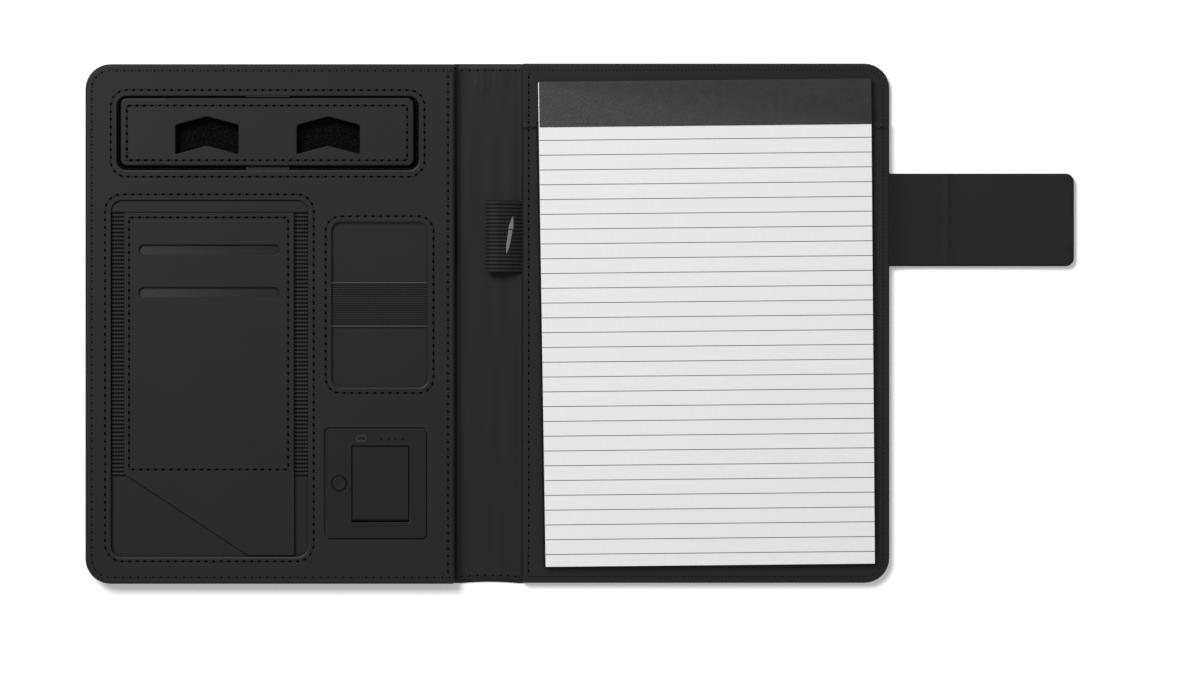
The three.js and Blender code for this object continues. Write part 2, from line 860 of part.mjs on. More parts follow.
function addPowerModule(group) {
  addPiece(group, 'powerbank_case', caseSolid(), plasticFinish);
  addPiece(group, 'powerbank_bezel', bezelSolid(), plasticFinish);
  addPiece(group, 'circuit_board', circuitBoardSolid(), circuitFinish);

  screwPlaces.forEach(([x, y], screw) => {
    const headTop = caseFloorTop - layerGap;
    const shank = post(x, y, headTop, boardTopZ + screwBite, screwRadius, 10);
    const fixing = post(x, y, headTop - screwHeadHeight, headTop, screwHeadRadius).add(shank);
    addPiece(group, `case_screw_${screw + 1}`, fixing, steelFinish);
  });

  const half = switchSize / 2;
  const tactSwitch = bar(
    buttonX - half, buttonY - half, boardTopZ, buttonX + half, buttonY + half,
    boardTopZ + switchHeight,
  ).add(post(buttonX, buttonY, boardTopZ + switchHeight / 2, plungerTop, plungerRadius));
  addPiece(group, 'tact_switch', tactSwitch, plasticFinish);

  const button = post(buttonX, buttonY, flangeBase, flangeTop, buttonFlangeRadius, 24)
    .add(post(buttonX, buttonY, flangeBase, bezelTop + buttonProud, buttonRadius, 24));
  addPiece(group, 'power_button', button, plasticFinish);

  const pipeTop = coreTop - fit / 2;
  let pipe = bar(
    ledPlaces[0] - ledPinRadius - pipeMargin,
    ledY - pipeMargin,
    pipeTop - pipeThickness,
    ledPlaces[ledCount - 1] + ledPinRadius + pipeMargin,
    ledY + pipeMargin,
    pipeTop,
  );
  ledPlaces.forEach((x, led) => {
    pipe = pipe.add(post(x, ledY, pipeTop - pipeThickness / 2, bezelTop, ledPinRadius, 8));
    const chip = bar(
      x - ledLength / 2, ledY - ledWidth / 2, boardTopZ, x + ledLength / 2, ledY + ledWidth / 2,
      boardTopZ + ledHeight,
    );
    addPiece(group, `led_${led + 1}`, chip, lightFinish);
  });
  addPiece(group, 'led_light_pipe', pipe, lightFinish);

  const ribbonBase = caseFloorTop + ribbonLift;
  const ribbonLeft = caseInside.left + ribbonStart;
  const ribbon = bar(
    ribbonLeft, hingeY, ribbonBase, ribbonLeft + ribbonReach, hingeY + ribbonWidth,
    ribbonBase + ribbonThickness,
  ).add(bar(
    ribbonLeft, hingeY, ribbonBase, ribbonLeft + ribbonThickness, hingeY + ribbonWidth,
    boardBaseZ - layerGap,
  ));
  addPiece(group, 'port_ribbon', ribbon, meshFinish);
}

// Port block: it turns up on a pin in the bezel's ears and shows its two ports
const blockReach = block.top - hingeY;
const blockDrop = hingeZ - blockBase;
const blockUndercut = blockReach - Math.sqrt(blockReach ** 2 - blockDrop ** 2);
const blockRoomBottom = hingeY + hingeSolid;
const blockRoomTop = block.top - blockUndercut - blockWall;
const outPortLeft = block.left + portSpacing;
const inPortLeft = outPortLeft + outPortWidth + portSpacing;
const portFace = block.top - portRecess;
const outPortBase = blockBase + blockWall + layerGap;
const portBoardBase = blockBase + blockWall + portBoardLift;
const inPortBase = portBoardBase + boardThickness;

function blockProfile() {
  const profile = new THREE.Shape();
  profile.moveTo(block.bottom, blockBase);
  profile.lineTo(block.top - blockUndercut, blockBase);
  profile.lineTo(block.top, bezelTop);
  profile.lineTo(hingeY, bezelTop);
  profile.absarc(hingeY, hingeZ, blockHingeRadius, Math.PI / 2, Math.PI);
  return profile;
}

function blockCoverSolid() {
  const room = bar(
    block.left + blockWall,
    blockRoomBottom,
    0,
    block.right - blockWall,
    blockRoomTop,
    bezelTop - blockWall,
  );
  const clear = 1.5 * layerGap;
  const outMouth = bar(
    outPortLeft - clear,
    blockRoomBottom,
    outPortBase - layerGap,
    outPortLeft + outPortWidth + clear,
    block.top + 1,
    bezelTop - blockWall,
  );
  const inMouth = bar(
    inPortLeft - clear,
    blockRoomBottom,
    inPortBase - clear,
    inPortLeft + inPortWidth + clear,
    block.top + 1,
    inPortBase + inPortHeight + clear,
  );
  const pinBore = rodAlongX(
    block.left - 1, block.right + 1, hingeY, hingeZ, hingePinRadius + hingePinGap,
  );
  return alongX(blockProfile(), block.left, block.right)
    .subtract(room)
    .subtract(outMouth)
    .subtract(inMouth)
    .subtract(pinBore);
}

function addPortBlock(group) {
  addPiece(group, 'port_block_cover', blockCoverSolid(), plasticFinish);

  const roomLeft = block.left + blockWall + layerGap;
  const roomRight = block.right - blockWall - layerGap;
  const inPortMid = inPortLeft + inPortWidth / 2;
  const supports = [
    [roomLeft + portSpacing, blockRoomBottom + portSpacing],
    [inPortMid, blockRoomBottom + portSpacing],
    [inPortMid, portFace - inPortDepth],
  ];
  let base = bar(
    roomLeft,
    blockRoomBottom + layerGap,
    blockBase,
    roomRight,
    blockRoomTop - layerGap,
    blockBase + blockWall,
  );
  for (const [x, y] of supports) {
    base = base.add(bar(
      x, y, blockBase + blockWall / 2, x + portSpacing, y + portSpacing, portBoardBase,
    ));
  }
  addPiece(group, 'port_block_base', base, plasticFinish);

  const shellBack = portFace - outPortDepth;
  const board = bar(
    roomLeft + fit,
    blockRoomBottom + fit,
    portBoardBase,
    roomRight - fit,
    shellBack - fit,
    inPortBase,
  ).add(bar(
    outPortLeft + outPortWidth + fit,
    blockRoomBottom + fit,
    portBoardBase,
    roomRight - fit,
    blockRoomTop - fit,
    inPortBase,
  ));
  addPiece(group, 'port_board', board, circuitFinish);

  const outPortRight = outPortLeft + outPortWidth;
  const outPortTop = outPortBase + outPortHeight;
  const shell = bar(outPortLeft, shellBack, outPortBase, outPortRight, portFace, outPortTop)
    .subtract(bar(
      outPortLeft + outPortWall,
      shellBack + outPortWall,
      outPortBase + outPortWall,
      outPortRight - outPortWall,
      portFace + 1,
      outPortTop - outPortWall,
    ));
  addPiece(group, 'output_port_shell', shell, steelFinish);

  const inset = outPortWall + layerGap;
  const carrierTop = shellBack + inset + tongueCarrier;
  const tongueLeft = (outPortLeft + outPortRight - tongueWidth) / 2;
  const tongueBase = (outPortBase + outPortTop - tongueThickness) / 2;
  const tongue = bar(
    outPortLeft + inset, shellBack + inset, outPortBase + inset,
    outPortRight - inset, carrierTop, outPortTop - inset,
  ).add(bar(
    tongueLeft, carrierTop - 1, tongueBase,
    tongueLeft + tongueWidth, carrierTop + tongueLength, tongueBase + tongueThickness,
  ));
  addPiece(group, 'output_port_tongue', tongue, plasticFinish);

  const socket = bar(
    inPortLeft, portFace - inPortDepth, inPortBase,
    inPortLeft + inPortWidth, portFace, inPortBase + inPortHeight,
  ).subtract(bar(
    inPortLeft + inPortWall, portFace - inPortDepth + inPortWall, inPortBase + inPortWall,
    inPortLeft + inPortWidth - inPortWall, portFace + 1, inPortBase + inPortHeight - inPortWall,
  ));
  addPiece(group, 'input_port_socket', socket, steelFinish);

  const pin = rodAlongX(
    blockOpening.left - hingePinReach, blockOpening.right + hingePinReach,
    hingeY, hingeZ, hingePinRadius,
  );
  addPiece(group, 'port_hinge_pin', pin, steelFinish);
}

// Spine: leather, its lining and the elastic pen loop
function spineOutline(left, right, inset) {
  const bottom = spineEndInset + inset;
  const top = coverHeight - spineEndInset - inset;
  const middle = (left + right) / 2;
  const shape = new THREE.Shape();
  shape.moveTo(left, bottom);
  shape.quadraticCurveTo(middle, bottom + 2 * spineBottomSag, right, bottom);
  shape.lineTo(right, top);
  shape.quadraticCurveTo(middle, top - 2 * spineTopSag, left, top);
  return shape;
}

function penLoopProfile() {
  const centreX = spineRightAxis - loopReach;
  const base = leather + spineLining + layerGap;
  const centreZ = base + loopRadius;
  const tailX = spineRightAxis - loopTailReach;
  const profile = new THREE.Shape();
  profile.moveTo(tailX, base);
  profile.lineTo(tailX, base + loopTail);
  profile.absarc(centreX, centreZ, loopRadius, loopJoinAngle, 1.5 * Math.PI);
  const bore = new THREE.Path();
  bore.absarc(centreX, centreZ, loopRadius - loopWall, 0, 2 * Math.PI);
  profile.holes.push(bore);
  return profile;
}

function addSpine(group) {
  const slit = foldSlit / 2;
  const skin = spineOutline(spineLeftAxis + slit, spineRightAxis - slit, 0);
  addPiece(group, 'spine_outer_skin', plate(skin, 0, leather), leatherFinish);

  const lining = spineOutline(
    spineLeftAxis + spineLiningInset, spineRightAxis - spineLiningInset, liningEdgeInset,
  );
  const liningTop = leather + spineLining;
  addPiece(group, 'spine_lining', plate(lining, leather, liningTop), liningFinish);

  const loop = toSolid(new THREE.ExtrudeGeometry(penLoopProfile(), {
    depth: loopLength, bevelEnabled: false, curveSegments: 8,
  }).rotateX(Math.PI / 2).translate(0, coverHeight - loopTopMargin, 0));
  addPiece(group, 'pen_loop', loop, elasticFinish);
}

// Right cover: wrapped leather, board, lining and the pocket that holds the pad's backing
function addRightCover(group) {
  const foldStrip = bar(
    spineRightAxis + foldSlit / 2,
    spineEndInset,
    0,
    rightCover.left + leather,
    coverHeight - spineEndInset,
    leather,
  );
  const strapSlot = bar(
    rightCover.right - anchorLength - fit,
    strapBottom - fit,
    leather,
    rightCover.right + 1,
    strapTop + fit,
    above,
  );
  const skin = slab(rightCover, 0, rightBoardTop)
    .subtract(slab(grow(rightCover, -leather), leather, above))
    .subtract(strapSlot)
    .add(foldStrip);
  addPiece(group, 'right_outer_skin', skin, leatherFinish);

  const board = slab(grow(rightCover, -leather - fit), leather, rightBoardTop)
    .subtract(strapSlot);
  addPiece(group, 'right_board', board, boardFinish);

  const lining = slab(grow(rightCover, -liningEdgeInset), rightBoardTop, rightTop);
  addPiece(group, 'right_lining', lining, liningFinish);
  addPiece(group, 'notepad_pocket', padPocketSolid(), liningFinish);
}

function padPocketSolid() {
  const footTop = rightTop + padPocketPly;
  const foot = grow(rightCover, -padPocketInset);
  const plateau = region(
    padCentreX - padPocketHalf - padPocketPly,
    padPocketBottom - padPocketPly,
    padCentreX + padPocketHalf + padPocketPly,
    padPocketMouth + padPocketSlope,
  );
  const cavity = bar(
    padCentreX - padPocketHalf,
    padPocketBottom,
    0,
    padCentreX + padPocketHalf,
    coverHeight,
    padPocketRoof,
  );
  const pastMouth = bar(
    rightCover.left - 1, padPocketMouth, 0, rightCover.right + 1, coverHeight + 1, above,
  );
  const slopeLimit = Math.min(
    padPocketSlope, padPocketBottom - padPocketPly - padPocketInset - layerGap,
  );
  return slab(foot, rightTop, footTop)
    .add(sloped(plateau, footTop - padPocketPly / 2, padPocketTop, slopeLimit))
    .subtract(cavity)
    .subtract(pastMouth);
}

// Note pad, lying very slightly askew in its pocket
function addPad(group) {
  const pad = new THREE.Group();
  pad.position.set(padCentreX, padCentreY, 0);
  pad.rotation.z = padTurn;
  group.add(pad);

  const halfWidth = padWidth / 2;
  const bottom = -padHeight / 2;
  const top = padHeight / 2;
  const insideTop = top - bindingPaper - layerGap;
  const stepStart = padPocketMouth - padCentreY + halfWidth * padSwing + padStepEase;
  const stepEnd = stepStart + padStepRun;
  const lowBase = padStackBase - padStepDrop;
  const lowTop = padStackTop - padStepDrop;

  const backing = bar(-halfWidth, bottom, padBackingBase, halfWidth, insideTop, padBackingTop);
  addPiece(pad, 'pad_backing', backing, boardFinish);

  const sheets = polygon([
    [bottom, padStackBase],
    [stepStart, padStackBase],
    [stepEnd, lowBase],
    [insideTop, lowBase],
    [insideTop, lowTop],
    [stepEnd, lowTop],
    [stepStart, padStackTop],
    [bottom, padStackTop],
  ]);
  addPiece(pad, 'pad_sheets', alongX(sheets, -halfWidth, halfWidth), paperFinish);

  const frontEdge = top - bindingFront;
  const backEdge = top - bindingBack;
  const under = rightTop + padRise;
  const overSheets = padStackTop + layerGap;
  const overLow = lowTop + layerGap;
  const binding = polygon([
    [backEdge, under],
    [top, under],
    [top, overLow + bindingPaper],
    [stepEnd, overLow + bindingPaper],
    [stepStart, overSheets + bindingPaper],
    [frontEdge, overSheets + bindingPaper],
    [frontEdge, overSheets],
    [stepStart, overSheets],
    [stepEnd, overLow],
    [top - bindingPaper, overLow],
    [top - bindingPaper, under + bindingPaper],
    [backEdge, under + bindingPaper],
  ]);
  addPiece(pad, 'pad_binding', alongX(binding, -halfWidth, halfWidth), bindingFinish);

  const sheet = bar(
    -halfWidth, bottom, overSheets, halfWidth, frontEdge - fit, overSheets + sheetThickness,
  );
  addPiece(pad, 'top_sheet', sheet, paperFinish);
}

// Closing strap: sewn into the right cover, it turns up over the edge and holds by a magnet
function addStrap(group) {
  const anchorBase = leather + anchorLift;
  const anchor = bar(
    rightCover.right - anchorLength,
    strapBottom,
    anchorBase,
    strapBaseX - fit,
    strapTop,
    anchorBase + anchorThickness,
  );
  addPiece(group, 'strap_anchor', anchor, leatherFinish);

  const web = polygon([
    [strapBaseX, strapBaseTop - strapThickness],
    [strapFoldX - strapSlit, strapFoldTop - strapThickness],
    [strapFoldX - strapSlit, strapFoldTop],
    [strapBaseX, strapBaseTop],
  ]);
  addPiece(group, 'strap_web', alongY(web, strapBottom, strapTop), leatherFinish);

  const tip = new THREE.Group();
  tip.position.set(strapFoldX, strapCentreY, strapFoldTop);
  tip.rotation.y = strapTilt;
  group.add(tip);

  const half = strapWidth / 2;
  const face = region(strapSlit, -half, strapTipLength, half, 0, strapTipRadius);
  const magnet = region(
    strapMagnetReach - magnetWidth / 2,
    -magnetLength / 2,
    strapMagnetReach + magnetWidth / 2,
    magnetLength / 2,
  );
  const outerTop = strapTipOuter - strapThickness;
  const innerBase = outerTop + layerGap;
  const magnetBase = -strapMagnetSkin - layerGap - strapMagnetThickness;
  const inner = slab(face, innerBase, 0)
    .subtract(slab(grow(magnet, fit), innerBase - 1, -strapMagnetSkin));
  addPiece(tip, 'strap_tip_outer', slab(face, -strapThickness, outerTop), leatherFinish);
  addPiece(tip, 'strap_tip_inner', inner, leatherFinish);
  const plateTop = magnetBase + strapMagnetThickness;
  addPiece(tip, 'strap_magnet', slab(magnet, magnetBase, plateTop), magnetFinish);
}

const folder = new THREE.Group();
folder.position.set(-totalWidth / 2, -coverHeight / 2, 0);
addRightCover(folder);
addStrap(folder);
addPad(folder);
addSpine(folder);
addLeftCover(folder);
addCableBay(folder);
addPhonePocket(folder);
addBandWindow(folder);
addBattery(folder);
addPowerModule(folder);
addPortBlock(folder);

export default folder;
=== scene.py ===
"""Looks of an organiser folder with a power bank, lying open on a pale floor."""

import json
import math
from collections import namedtuple

import bmesh
import bpy
from mathutils import Matrix, Vector


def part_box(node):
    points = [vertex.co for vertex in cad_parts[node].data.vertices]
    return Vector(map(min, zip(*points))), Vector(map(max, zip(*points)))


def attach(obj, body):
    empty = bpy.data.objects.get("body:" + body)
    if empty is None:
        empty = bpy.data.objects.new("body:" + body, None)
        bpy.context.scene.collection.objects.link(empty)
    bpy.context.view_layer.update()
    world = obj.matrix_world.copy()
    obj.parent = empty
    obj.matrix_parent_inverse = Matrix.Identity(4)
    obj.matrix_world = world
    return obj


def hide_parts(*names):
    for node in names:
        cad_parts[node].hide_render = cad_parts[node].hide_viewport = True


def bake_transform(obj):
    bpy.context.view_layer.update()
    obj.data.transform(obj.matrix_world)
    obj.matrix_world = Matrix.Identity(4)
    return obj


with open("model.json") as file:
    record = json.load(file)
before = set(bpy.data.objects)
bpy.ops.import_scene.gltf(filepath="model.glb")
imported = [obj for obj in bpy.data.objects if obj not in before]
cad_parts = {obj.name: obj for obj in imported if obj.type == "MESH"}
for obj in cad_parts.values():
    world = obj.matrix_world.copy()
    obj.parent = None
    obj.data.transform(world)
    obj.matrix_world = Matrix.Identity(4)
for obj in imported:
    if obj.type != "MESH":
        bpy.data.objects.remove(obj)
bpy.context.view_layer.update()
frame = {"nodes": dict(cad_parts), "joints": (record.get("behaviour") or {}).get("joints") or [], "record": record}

bl_info = {
    "name": "Power Bank Notebook",
    "version": (1, 0, 0),
    "blender": (4, 5, 0),
    "location": "3D View > Sidebar > Notebook",
    "description": "Builds the leather, elastic, paper and plastic pieces of a power bank notebook",
    "category": "Object",
}

MM = 0.001
COVER_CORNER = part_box("left_outer_skin")[0]
TO_WORLD = Matrix.Translation(COVER_CORNER) @ Matrix.Scale(MM, 4)
TO_BOOK = TO_WORLD.inverted()
ACROSS, UP = Vector((1, 0, 0)), Vector((0, 1, 0))
LEVEL = 1e-3
ROLL_STEPS = 4
CORNER_STEPS = 8

# Areas are in millimetres from the left cover's lower left corner
Area = namedtuple("Area", "left bottom right top left_radius right_radius")


def area(left, bottom, right, top, left_radius=0.0, right_radius=None):
    other = left_radius if right_radius is None else right_radius
    return Area(left, bottom, right, top, left_radius, other)


def grow(a, by):
    radii = [max(r + by, 0.0) if r > 0 else 0.0 for r in (a.left_radius, a.right_radius)]
    return Area(a.left - by, a.bottom - by, a.right + by, a.top + by, *radii)


def moved(a, left=0.0, bottom=0.0, right=0.0, top=0.0):
    """The area with its sides moved by so much, to the right or up."""
    return a._replace(
        left=a.left + left, bottom=a.bottom + bottom, right=a.right + right, top=a.top + top
    )


def middle_of(a):
    return (a.left + a.right) / 2, (a.bottom + a.top) / 2


def node_area(node, by=0.0, left_radius=0.0, right_radius=None):
    low, high = (TO_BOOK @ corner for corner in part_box(node))
    return area(low.x - by, low.y - by, high.x + by, high.y + by, left_radius, right_radius)


def node_heights(node):
    low, high = (TO_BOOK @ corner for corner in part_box(node))
    return low.z, high.z


COVER_HEIGHT = 225.0
WRAP = 1.1
LINING_INSET = 0.3
CORNER, SPINE_CORNER = 10.9, 1.2
# The covers' leather swells out a little past their boards, and so do the windows' edges
LEFT = moved(
    node_area("left_board", WRAP, CORNER, SPINE_CORNER), bottom=-0.2, right=0.25, top=0.2
)
RIGHT = moved(
    node_area("right_board", WRAP, SPINE_CORNER, CORNER), left=-0.8, bottom=-0.05, top=0.75
)
BAY = moved(node_area("cable_bay_liner", 0.3, 4.2), bottom=0.45)
PHONE = moved(node_area("pocket_backing", 0.3, 4.8), left=0.3, bottom=0.7)
BAND = moved(node_area("band_window_backing", 0.3, 3.8), bottom=0.5, top=0.3)
MODULE = node_area("powerbank_bezel", 0.0, 2.4)
BLOCK = node_area("port_block_cover")
PANEL_END = node_area("cable_wing_right")
PANEL = node_area("cable_wing_left", 0.0, 2.8)._replace(right=PANEL_END.right, top=PANEL_END.top)
BAY_BAND = node_area("cable_centre_band")
BAY_MIDDLE = middle_of(BAY_BAND)[0]
POCKET = moved(node_area("pocket_front"), bottom=0.7)
MOUTH = node_area("notepad_pocket").top
LEFT_RIM, LEFT_TOP = node_heights("left_lining")
RIGHT_RIM, RIGHT_TOP = node_heights("right_lining")
SKIN = node_heights("spine_outer_skin")[1]
SPINE_TOP = node_heights("spine_lining")[1]


def joint(name):
    return next(j for j in frame["joints"] if j["name"] == name)


def joint_x(name):
    return (TO_BOOK @ Vector(joint(name)["pos_m"])).x


FOLD_LEFT = joint_x("cover_fold")
FOLD_RIGHT = joint_x("spine_fold")
SPINE_MIDDLE = (FOLD_LEFT + FOLD_RIGHT) / 2
PAD_WIDTH, PAD_HEIGHT = 143.1, 210.0
BINDING_HEIGHT = 19.4
BINDING_EDGE = PAD_HEIGHT / 2 - BINDING_HEIGHT
PAD_RIGHT, PAD_UP = 80.85, 0.45
SHEET_AXIS = joint("sheet_turn")["axis"]
PAD_TURN = math.atan2(SHEET_AXIS[1], SHEET_AXIS[0]) + math.radians(0.12)
PAD_PLACE = Matrix.Translation(
    (RIGHT.left + PAD_RIGHT, COVER_HEIGHT / 2 + PAD_UP, 0)
) @ Matrix.Rotation(PAD_TURN, 4, "Z")


# Sizes and colours that a user may change
def length(name, description, size, least):
    return bpy.props.FloatProperty(
        name=name, description=description, default=size, min=least, unit="LENGTH", precision=5,
    )


class NotebookSizes(bpy.types.PropertyGroup):
    """Lengths of the sewn and moulded details"""

    stitch_pitch: length("Stitch pitch", "From one stitch to the next", 0.0033, 0.001)
    stitch_length: length("Stitch length", "Visible length of one stitch", 0.0021, 0.0005)
    stitch_width: length("Stitch width", "Width of the sewing thread", 0.00106, 0.0001)
    edge_seam: length("Edge seam", "From a cover's edge to its stitches", 0.00285, 0.001)
    window_seam: length("Window seam", "From a window's edge to its stitches", 0.0026, 0.001)
    cover_roll: length("Cover roll", "Radius of the covers' rolled edges", 0.0006, 0.0001)
    window_roll: length("Window roll", "Radius of the windows' turned edges", 0.00035, 0.0001)
    rule_pitch: length("Line pitch", "From one printed line to the next", 0.00641, 0.002)
    rule_width: length("Line width", "Width of a printed line", 0.00037, 0.0001)
    first_rule: length("First line", "From the binding to the first line", 0.0058, 0.001)
    band_rib: length("Band rib", "Pitch of the elastic band's ribs", 0.001, 0.0003)
    gusset_rib: length("Gusset rib", "Pitch of the gussets' ribs", 0.00169, 0.0003)
    loop_rib: length("Loop rib", "Pitch of the pen loop's ribs", 0.00167, 0.0005)


def tint(name, description, colour):
    return bpy.props.FloatVectorProperty(
        name=name, description=description, default=colour,
        subtype="COLOR", size=3, min=0.0, max=1.0,
    )


class NotebookColours(bpy.types.PropertyGroup):
    """Colours of the materials"""

    leather: tint("Leather", "Covers, spine and strap outside", (0.0036, 0.0037, 0.0038))
    lining: tint("Lining", "Soft-touch leather inside the covers", (0.0046, 0.0047, 0.0048))
    thread: tint("Thread", "Sewing thread", (0.0012, 0.0012, 0.0012))
    elastic: tint("Elastic", "Pen loop, band and gussets", (0.0085, 0.0085, 0.0086))
    knit: tint("Knit", "Lining of the cable bay", (0.004, 0.004, 0.004))
    plastic: tint("Plastic", "Power module", (0.0068, 0.0069, 0.007))
    paper: tint("Paper", "Note pad sheets", (0.846, 0.846, 0.848))
    rule: tint("Lines", "Printed lines", (0.16, 0.16, 0.165))
    binding: tint("Binding", "Strip over the top of the pad", (0.0145, 0.0145, 0.0148))
    board: tint("Board", "Cardboard in the covers and behind the pad", (0.33, 0.3, 0.26))
    foam: tint("Foam", "Core of the left cover", (0.05, 0.05, 0.055))
    nickel: tint("Nickel", "Plated metal parts", (0.5, 0.51, 0.53))
    foil: tint("Foil", "Battery pouch", (0.5, 0.52, 0.54))
    # Dark green mask, kept near-black as painted shade for the ring round the button
    circuit: tint("Circuit board", "Circuit boards", (0.008, 0.02, 0.012))
    # Painted shade: the hinge pin seen in the port block's gap is made near-black
    pin_shade: tint("Blackened steel", "Hinge pin of the port block", (0.02, 0.02, 0.021))
    lead: tint("Red lead", "Battery's positive lead", (0.45, 0.02, 0.015))
    mark: tint("Mark", "Printed pen on the loop", (0.24, 0.242, 0.246))


def mm(name):
    return getattr(bpy.context.scene.notebook_sizes, name) / MM


def colour(name, level):
    return [c * level for c in getattr(bpy.context.scene.notebook_colours, name)] + [1.0]


# Materials
class Finish:
    """A material on the piece's own Object coordinates, built up node by node."""

    def __init__(self, name, roughness, specular=0.5, metallic=0.0):
        self.material = bpy.data.materials.new(name)
        self.material.use_nodes = True
        self.nodes = self.material.node_tree.nodes
        self.links = self.material.node_tree.links
        self.shader = self.nodes["Principled BSDF"]
        self.shader.inputs["Roughness"].default_value = roughness
        self.shader.inputs["Specular IOR Level"].default_value = specular
        self.shader.inputs["Metallic"].default_value = metallic
        self.place = self.nodes.new("ShaderNodeTexCoord").outputs["Object"]
        self.normal = None

    def made(self, kind, **values):
        """A new node with its inputs' values."""
        node = self.nodes.new(f"ShaderNode{kind}")
        for name, value in values.items():
            node.inputs[name.replace("_", " ")].default_value = value
        return node

    def mapped(self, **values):
        node = self.made("Mapping", **values)
        self.links.new(self.place, node.inputs["Vector"])
        return node.outputs["Vector"]

    def turned(self, angle):
        self.place = self.mapped(Rotation=(0.0, 0.0, angle))

    def noise(self, size, detail=3.0, roughness=0.5, stretch=(1, 1, 1)):
        place = self.mapped(Scale=stretch)
        node = self.made("TexNoise", Scale=1 / (size * MM), Detail=detail, Roughness=roughness)
        self.links.new(place, node.inputs["Vector"])
        return node.outputs["Fac"]

    def cells(self, size, feature="F1"):
        node = self.made("TexVoronoi", Scale=1 / (size * MM))
        node.feature = feature
        self.links.new(self.place, node.inputs["Vector"])
        return node.outputs["Distance"]

    def bands(self, pitch, direction, start=0.0):
        node = self.made(
            "TexWave", Scale=math.tau / 20 / (pitch * MM), Distortion=0.0,
            Phase_Offset=-math.tau * start / pitch,
        )
        node.bands_direction = direction
        self.links.new(self.place, node.inputs["Vector"])
        return node.outputs["Fac"]

    def combined(self, operation, first, second):
        node = self.made("Math")
        node.operation = operation
        self.links.new(first, node.inputs[0])
        self.links.new(second, node.inputs[1])
        return node.outputs["Value"]

    def ranged(self, value, low, high, start=0.3, end=0.7):
        node = self.made("MapRange", From_Min=start, From_Max=end, To_Min=low, To_Max=high)
        self.links.new(value, node.inputs["Value"])
        return node.outputs["Result"]

    def coloured(self, factor, first, second, start=0.3, end=0.7):
        node = self.made("Mix")
        node.data_type = "RGBA"
        node.inputs[6].default_value = first
        node.inputs[7].default_value = second
        self.links.new(self.ranged(factor, 0.0, 1.0, start, end), node.inputs[0])
        self.links.new(node.outputs[2], self.shader.inputs["Base Color"])

    def toned(self, factor, tone, dark, light, start=0.3, end=0.7):
        """One of the user's colours, at a level that runs with the factor."""
        self.coloured(factor, colour(tone, dark), colour(tone, light), start, end)

    def rough(self, factor, low, high):
        self.links.new(self.ranged(factor, low, high), self.shader.inputs["Roughness"])

    def bump(self, height, strength, depth):
        node = self.made("Bump", Strength=strength, Distance=depth * MM)
        self.links.new(height, node.inputs["Height"])
        if self.normal is not None:
            self.links.new(self.normal, node.inputs["Normal"])
        self.normal = node.outputs["Normal"]
        self.links.new(self.normal, self.shader.inputs["Normal"])


def leather_finish(name, tone, grain):
    """Imitation leather: soft mottling, fine creased grain and slow dents."""
    finish = Finish(name, 0.44, specular=0.148)
    finish.toned(finish.noise(26.0, 5.0, 0.6), tone, 0.9, 1.12)
    fine = finish.noise(0.55, 3.0, 0.6)
    creases = finish.cells(0.9, "DISTANCE_TO_EDGE")
    finish.rough(fine, 0.39, 0.51)
    finish.bump(finish.noise(22.0, 2.0), 0.2, 0.3)
    finish.bump(creases, grain * 0.6, 0.05)
    finish.bump(fine, grain, 0.06)
    return finish.material


def elastic_finish(name, node, rib, weave, dark, light):
    """Woven elastic: painted highlight along the ribs' crests and painted shade between them, over the weave's
    threads and fuzz.
    """
    finish = Finish(name, 0.75, specular=0.06)
    ribs = finish.bands(*rib_pitch(node, rib))
    threads = finish.bands(weave, "X")
    fuzz = finish.noise(0.45, 3.0, 0.7)
    # Painted highlight on the ribs' crests and painted shade in their valleys, times the weave's threads and fuzz
    rib_shade_and_weave = finish.combined("MULTIPLY", ribs, finish.ranged(threads, 0.45, 1.0, 0.0, 1.0))
    rib_shade_and_weave = finish.combined("MULTIPLY", rib_shade_and_weave, finish.ranged(fuzz, 0.6, 1.25))
    finish.toned(rib_shade_and_weave, "elastic", dark, light, 0.1, 0.9)
    finish.bump(threads, 0.4, 0.08)
    finish.bump(fuzz, 0.4, 0.08)
    return finish.material


def rib_pitch(node, size):
    """Pitch that fits a whole number of ribs, their direction and where they start."""
    a = node_area(node)
    run = a.top - a.bottom
    return run / max(1, round(run / mm(size))), "Y", COVER_CORNER.y / MM + a.bottom


def twisted_finish(name, roughness, specular, turn, pitch, tone, dark, light, strength, depth):
    """Twisted yarn or thread, whose strands lie at a slant, with painted light and painted shade along them."""
    finish = Finish(name, roughness, specular=specular)
    finish.turned(math.radians(turn))
    strand_relief_and_shade = finish.bands(pitch, "X")
    # Painted light and shade along the strands; the same bands give the strands' relief
    finish.toned(strand_relief_and_shade, tone, dark, light, 0.1, 0.9)
    finish.bump(strand_relief_and_shade, strength, depth)
    return finish.material


def knit_finish():
    """Open knit: rows of loops with painted light on their middles and painted shade in the holes between them."""
    finish = Finish("knit", 0.95, specular=0.08)
    loops = finish.cells(0.75)
    yarn = finish.noise(0.3, 3.0, 0.7)
    # Painted light on the loops' middles and painted shade in the holes between them
    finish.toned(loops, "knit", 2.4, 0.15, 0.15, 0.5)
    finish.bump(loops, 0.9, -0.6)
    finish.bump(yarn, 0.6, 0.2)
    return finish.material


def plastic_finish(name, tone, roughness, specular=0.11):
    """Spark-textured moulded plastic."""
    finish = Finish(name, roughness, specular=specular)
    spark = finish.noise(0.22, 2.0, 0.6)
    finish.toned(finish.noise(15.0, 3.0), tone, 0.93, 1.08)
    finish.rough(spark, roughness - 0.05, roughness + 0.06)
    finish.bump(spark, 0.25, 0.03)
    return finish.material


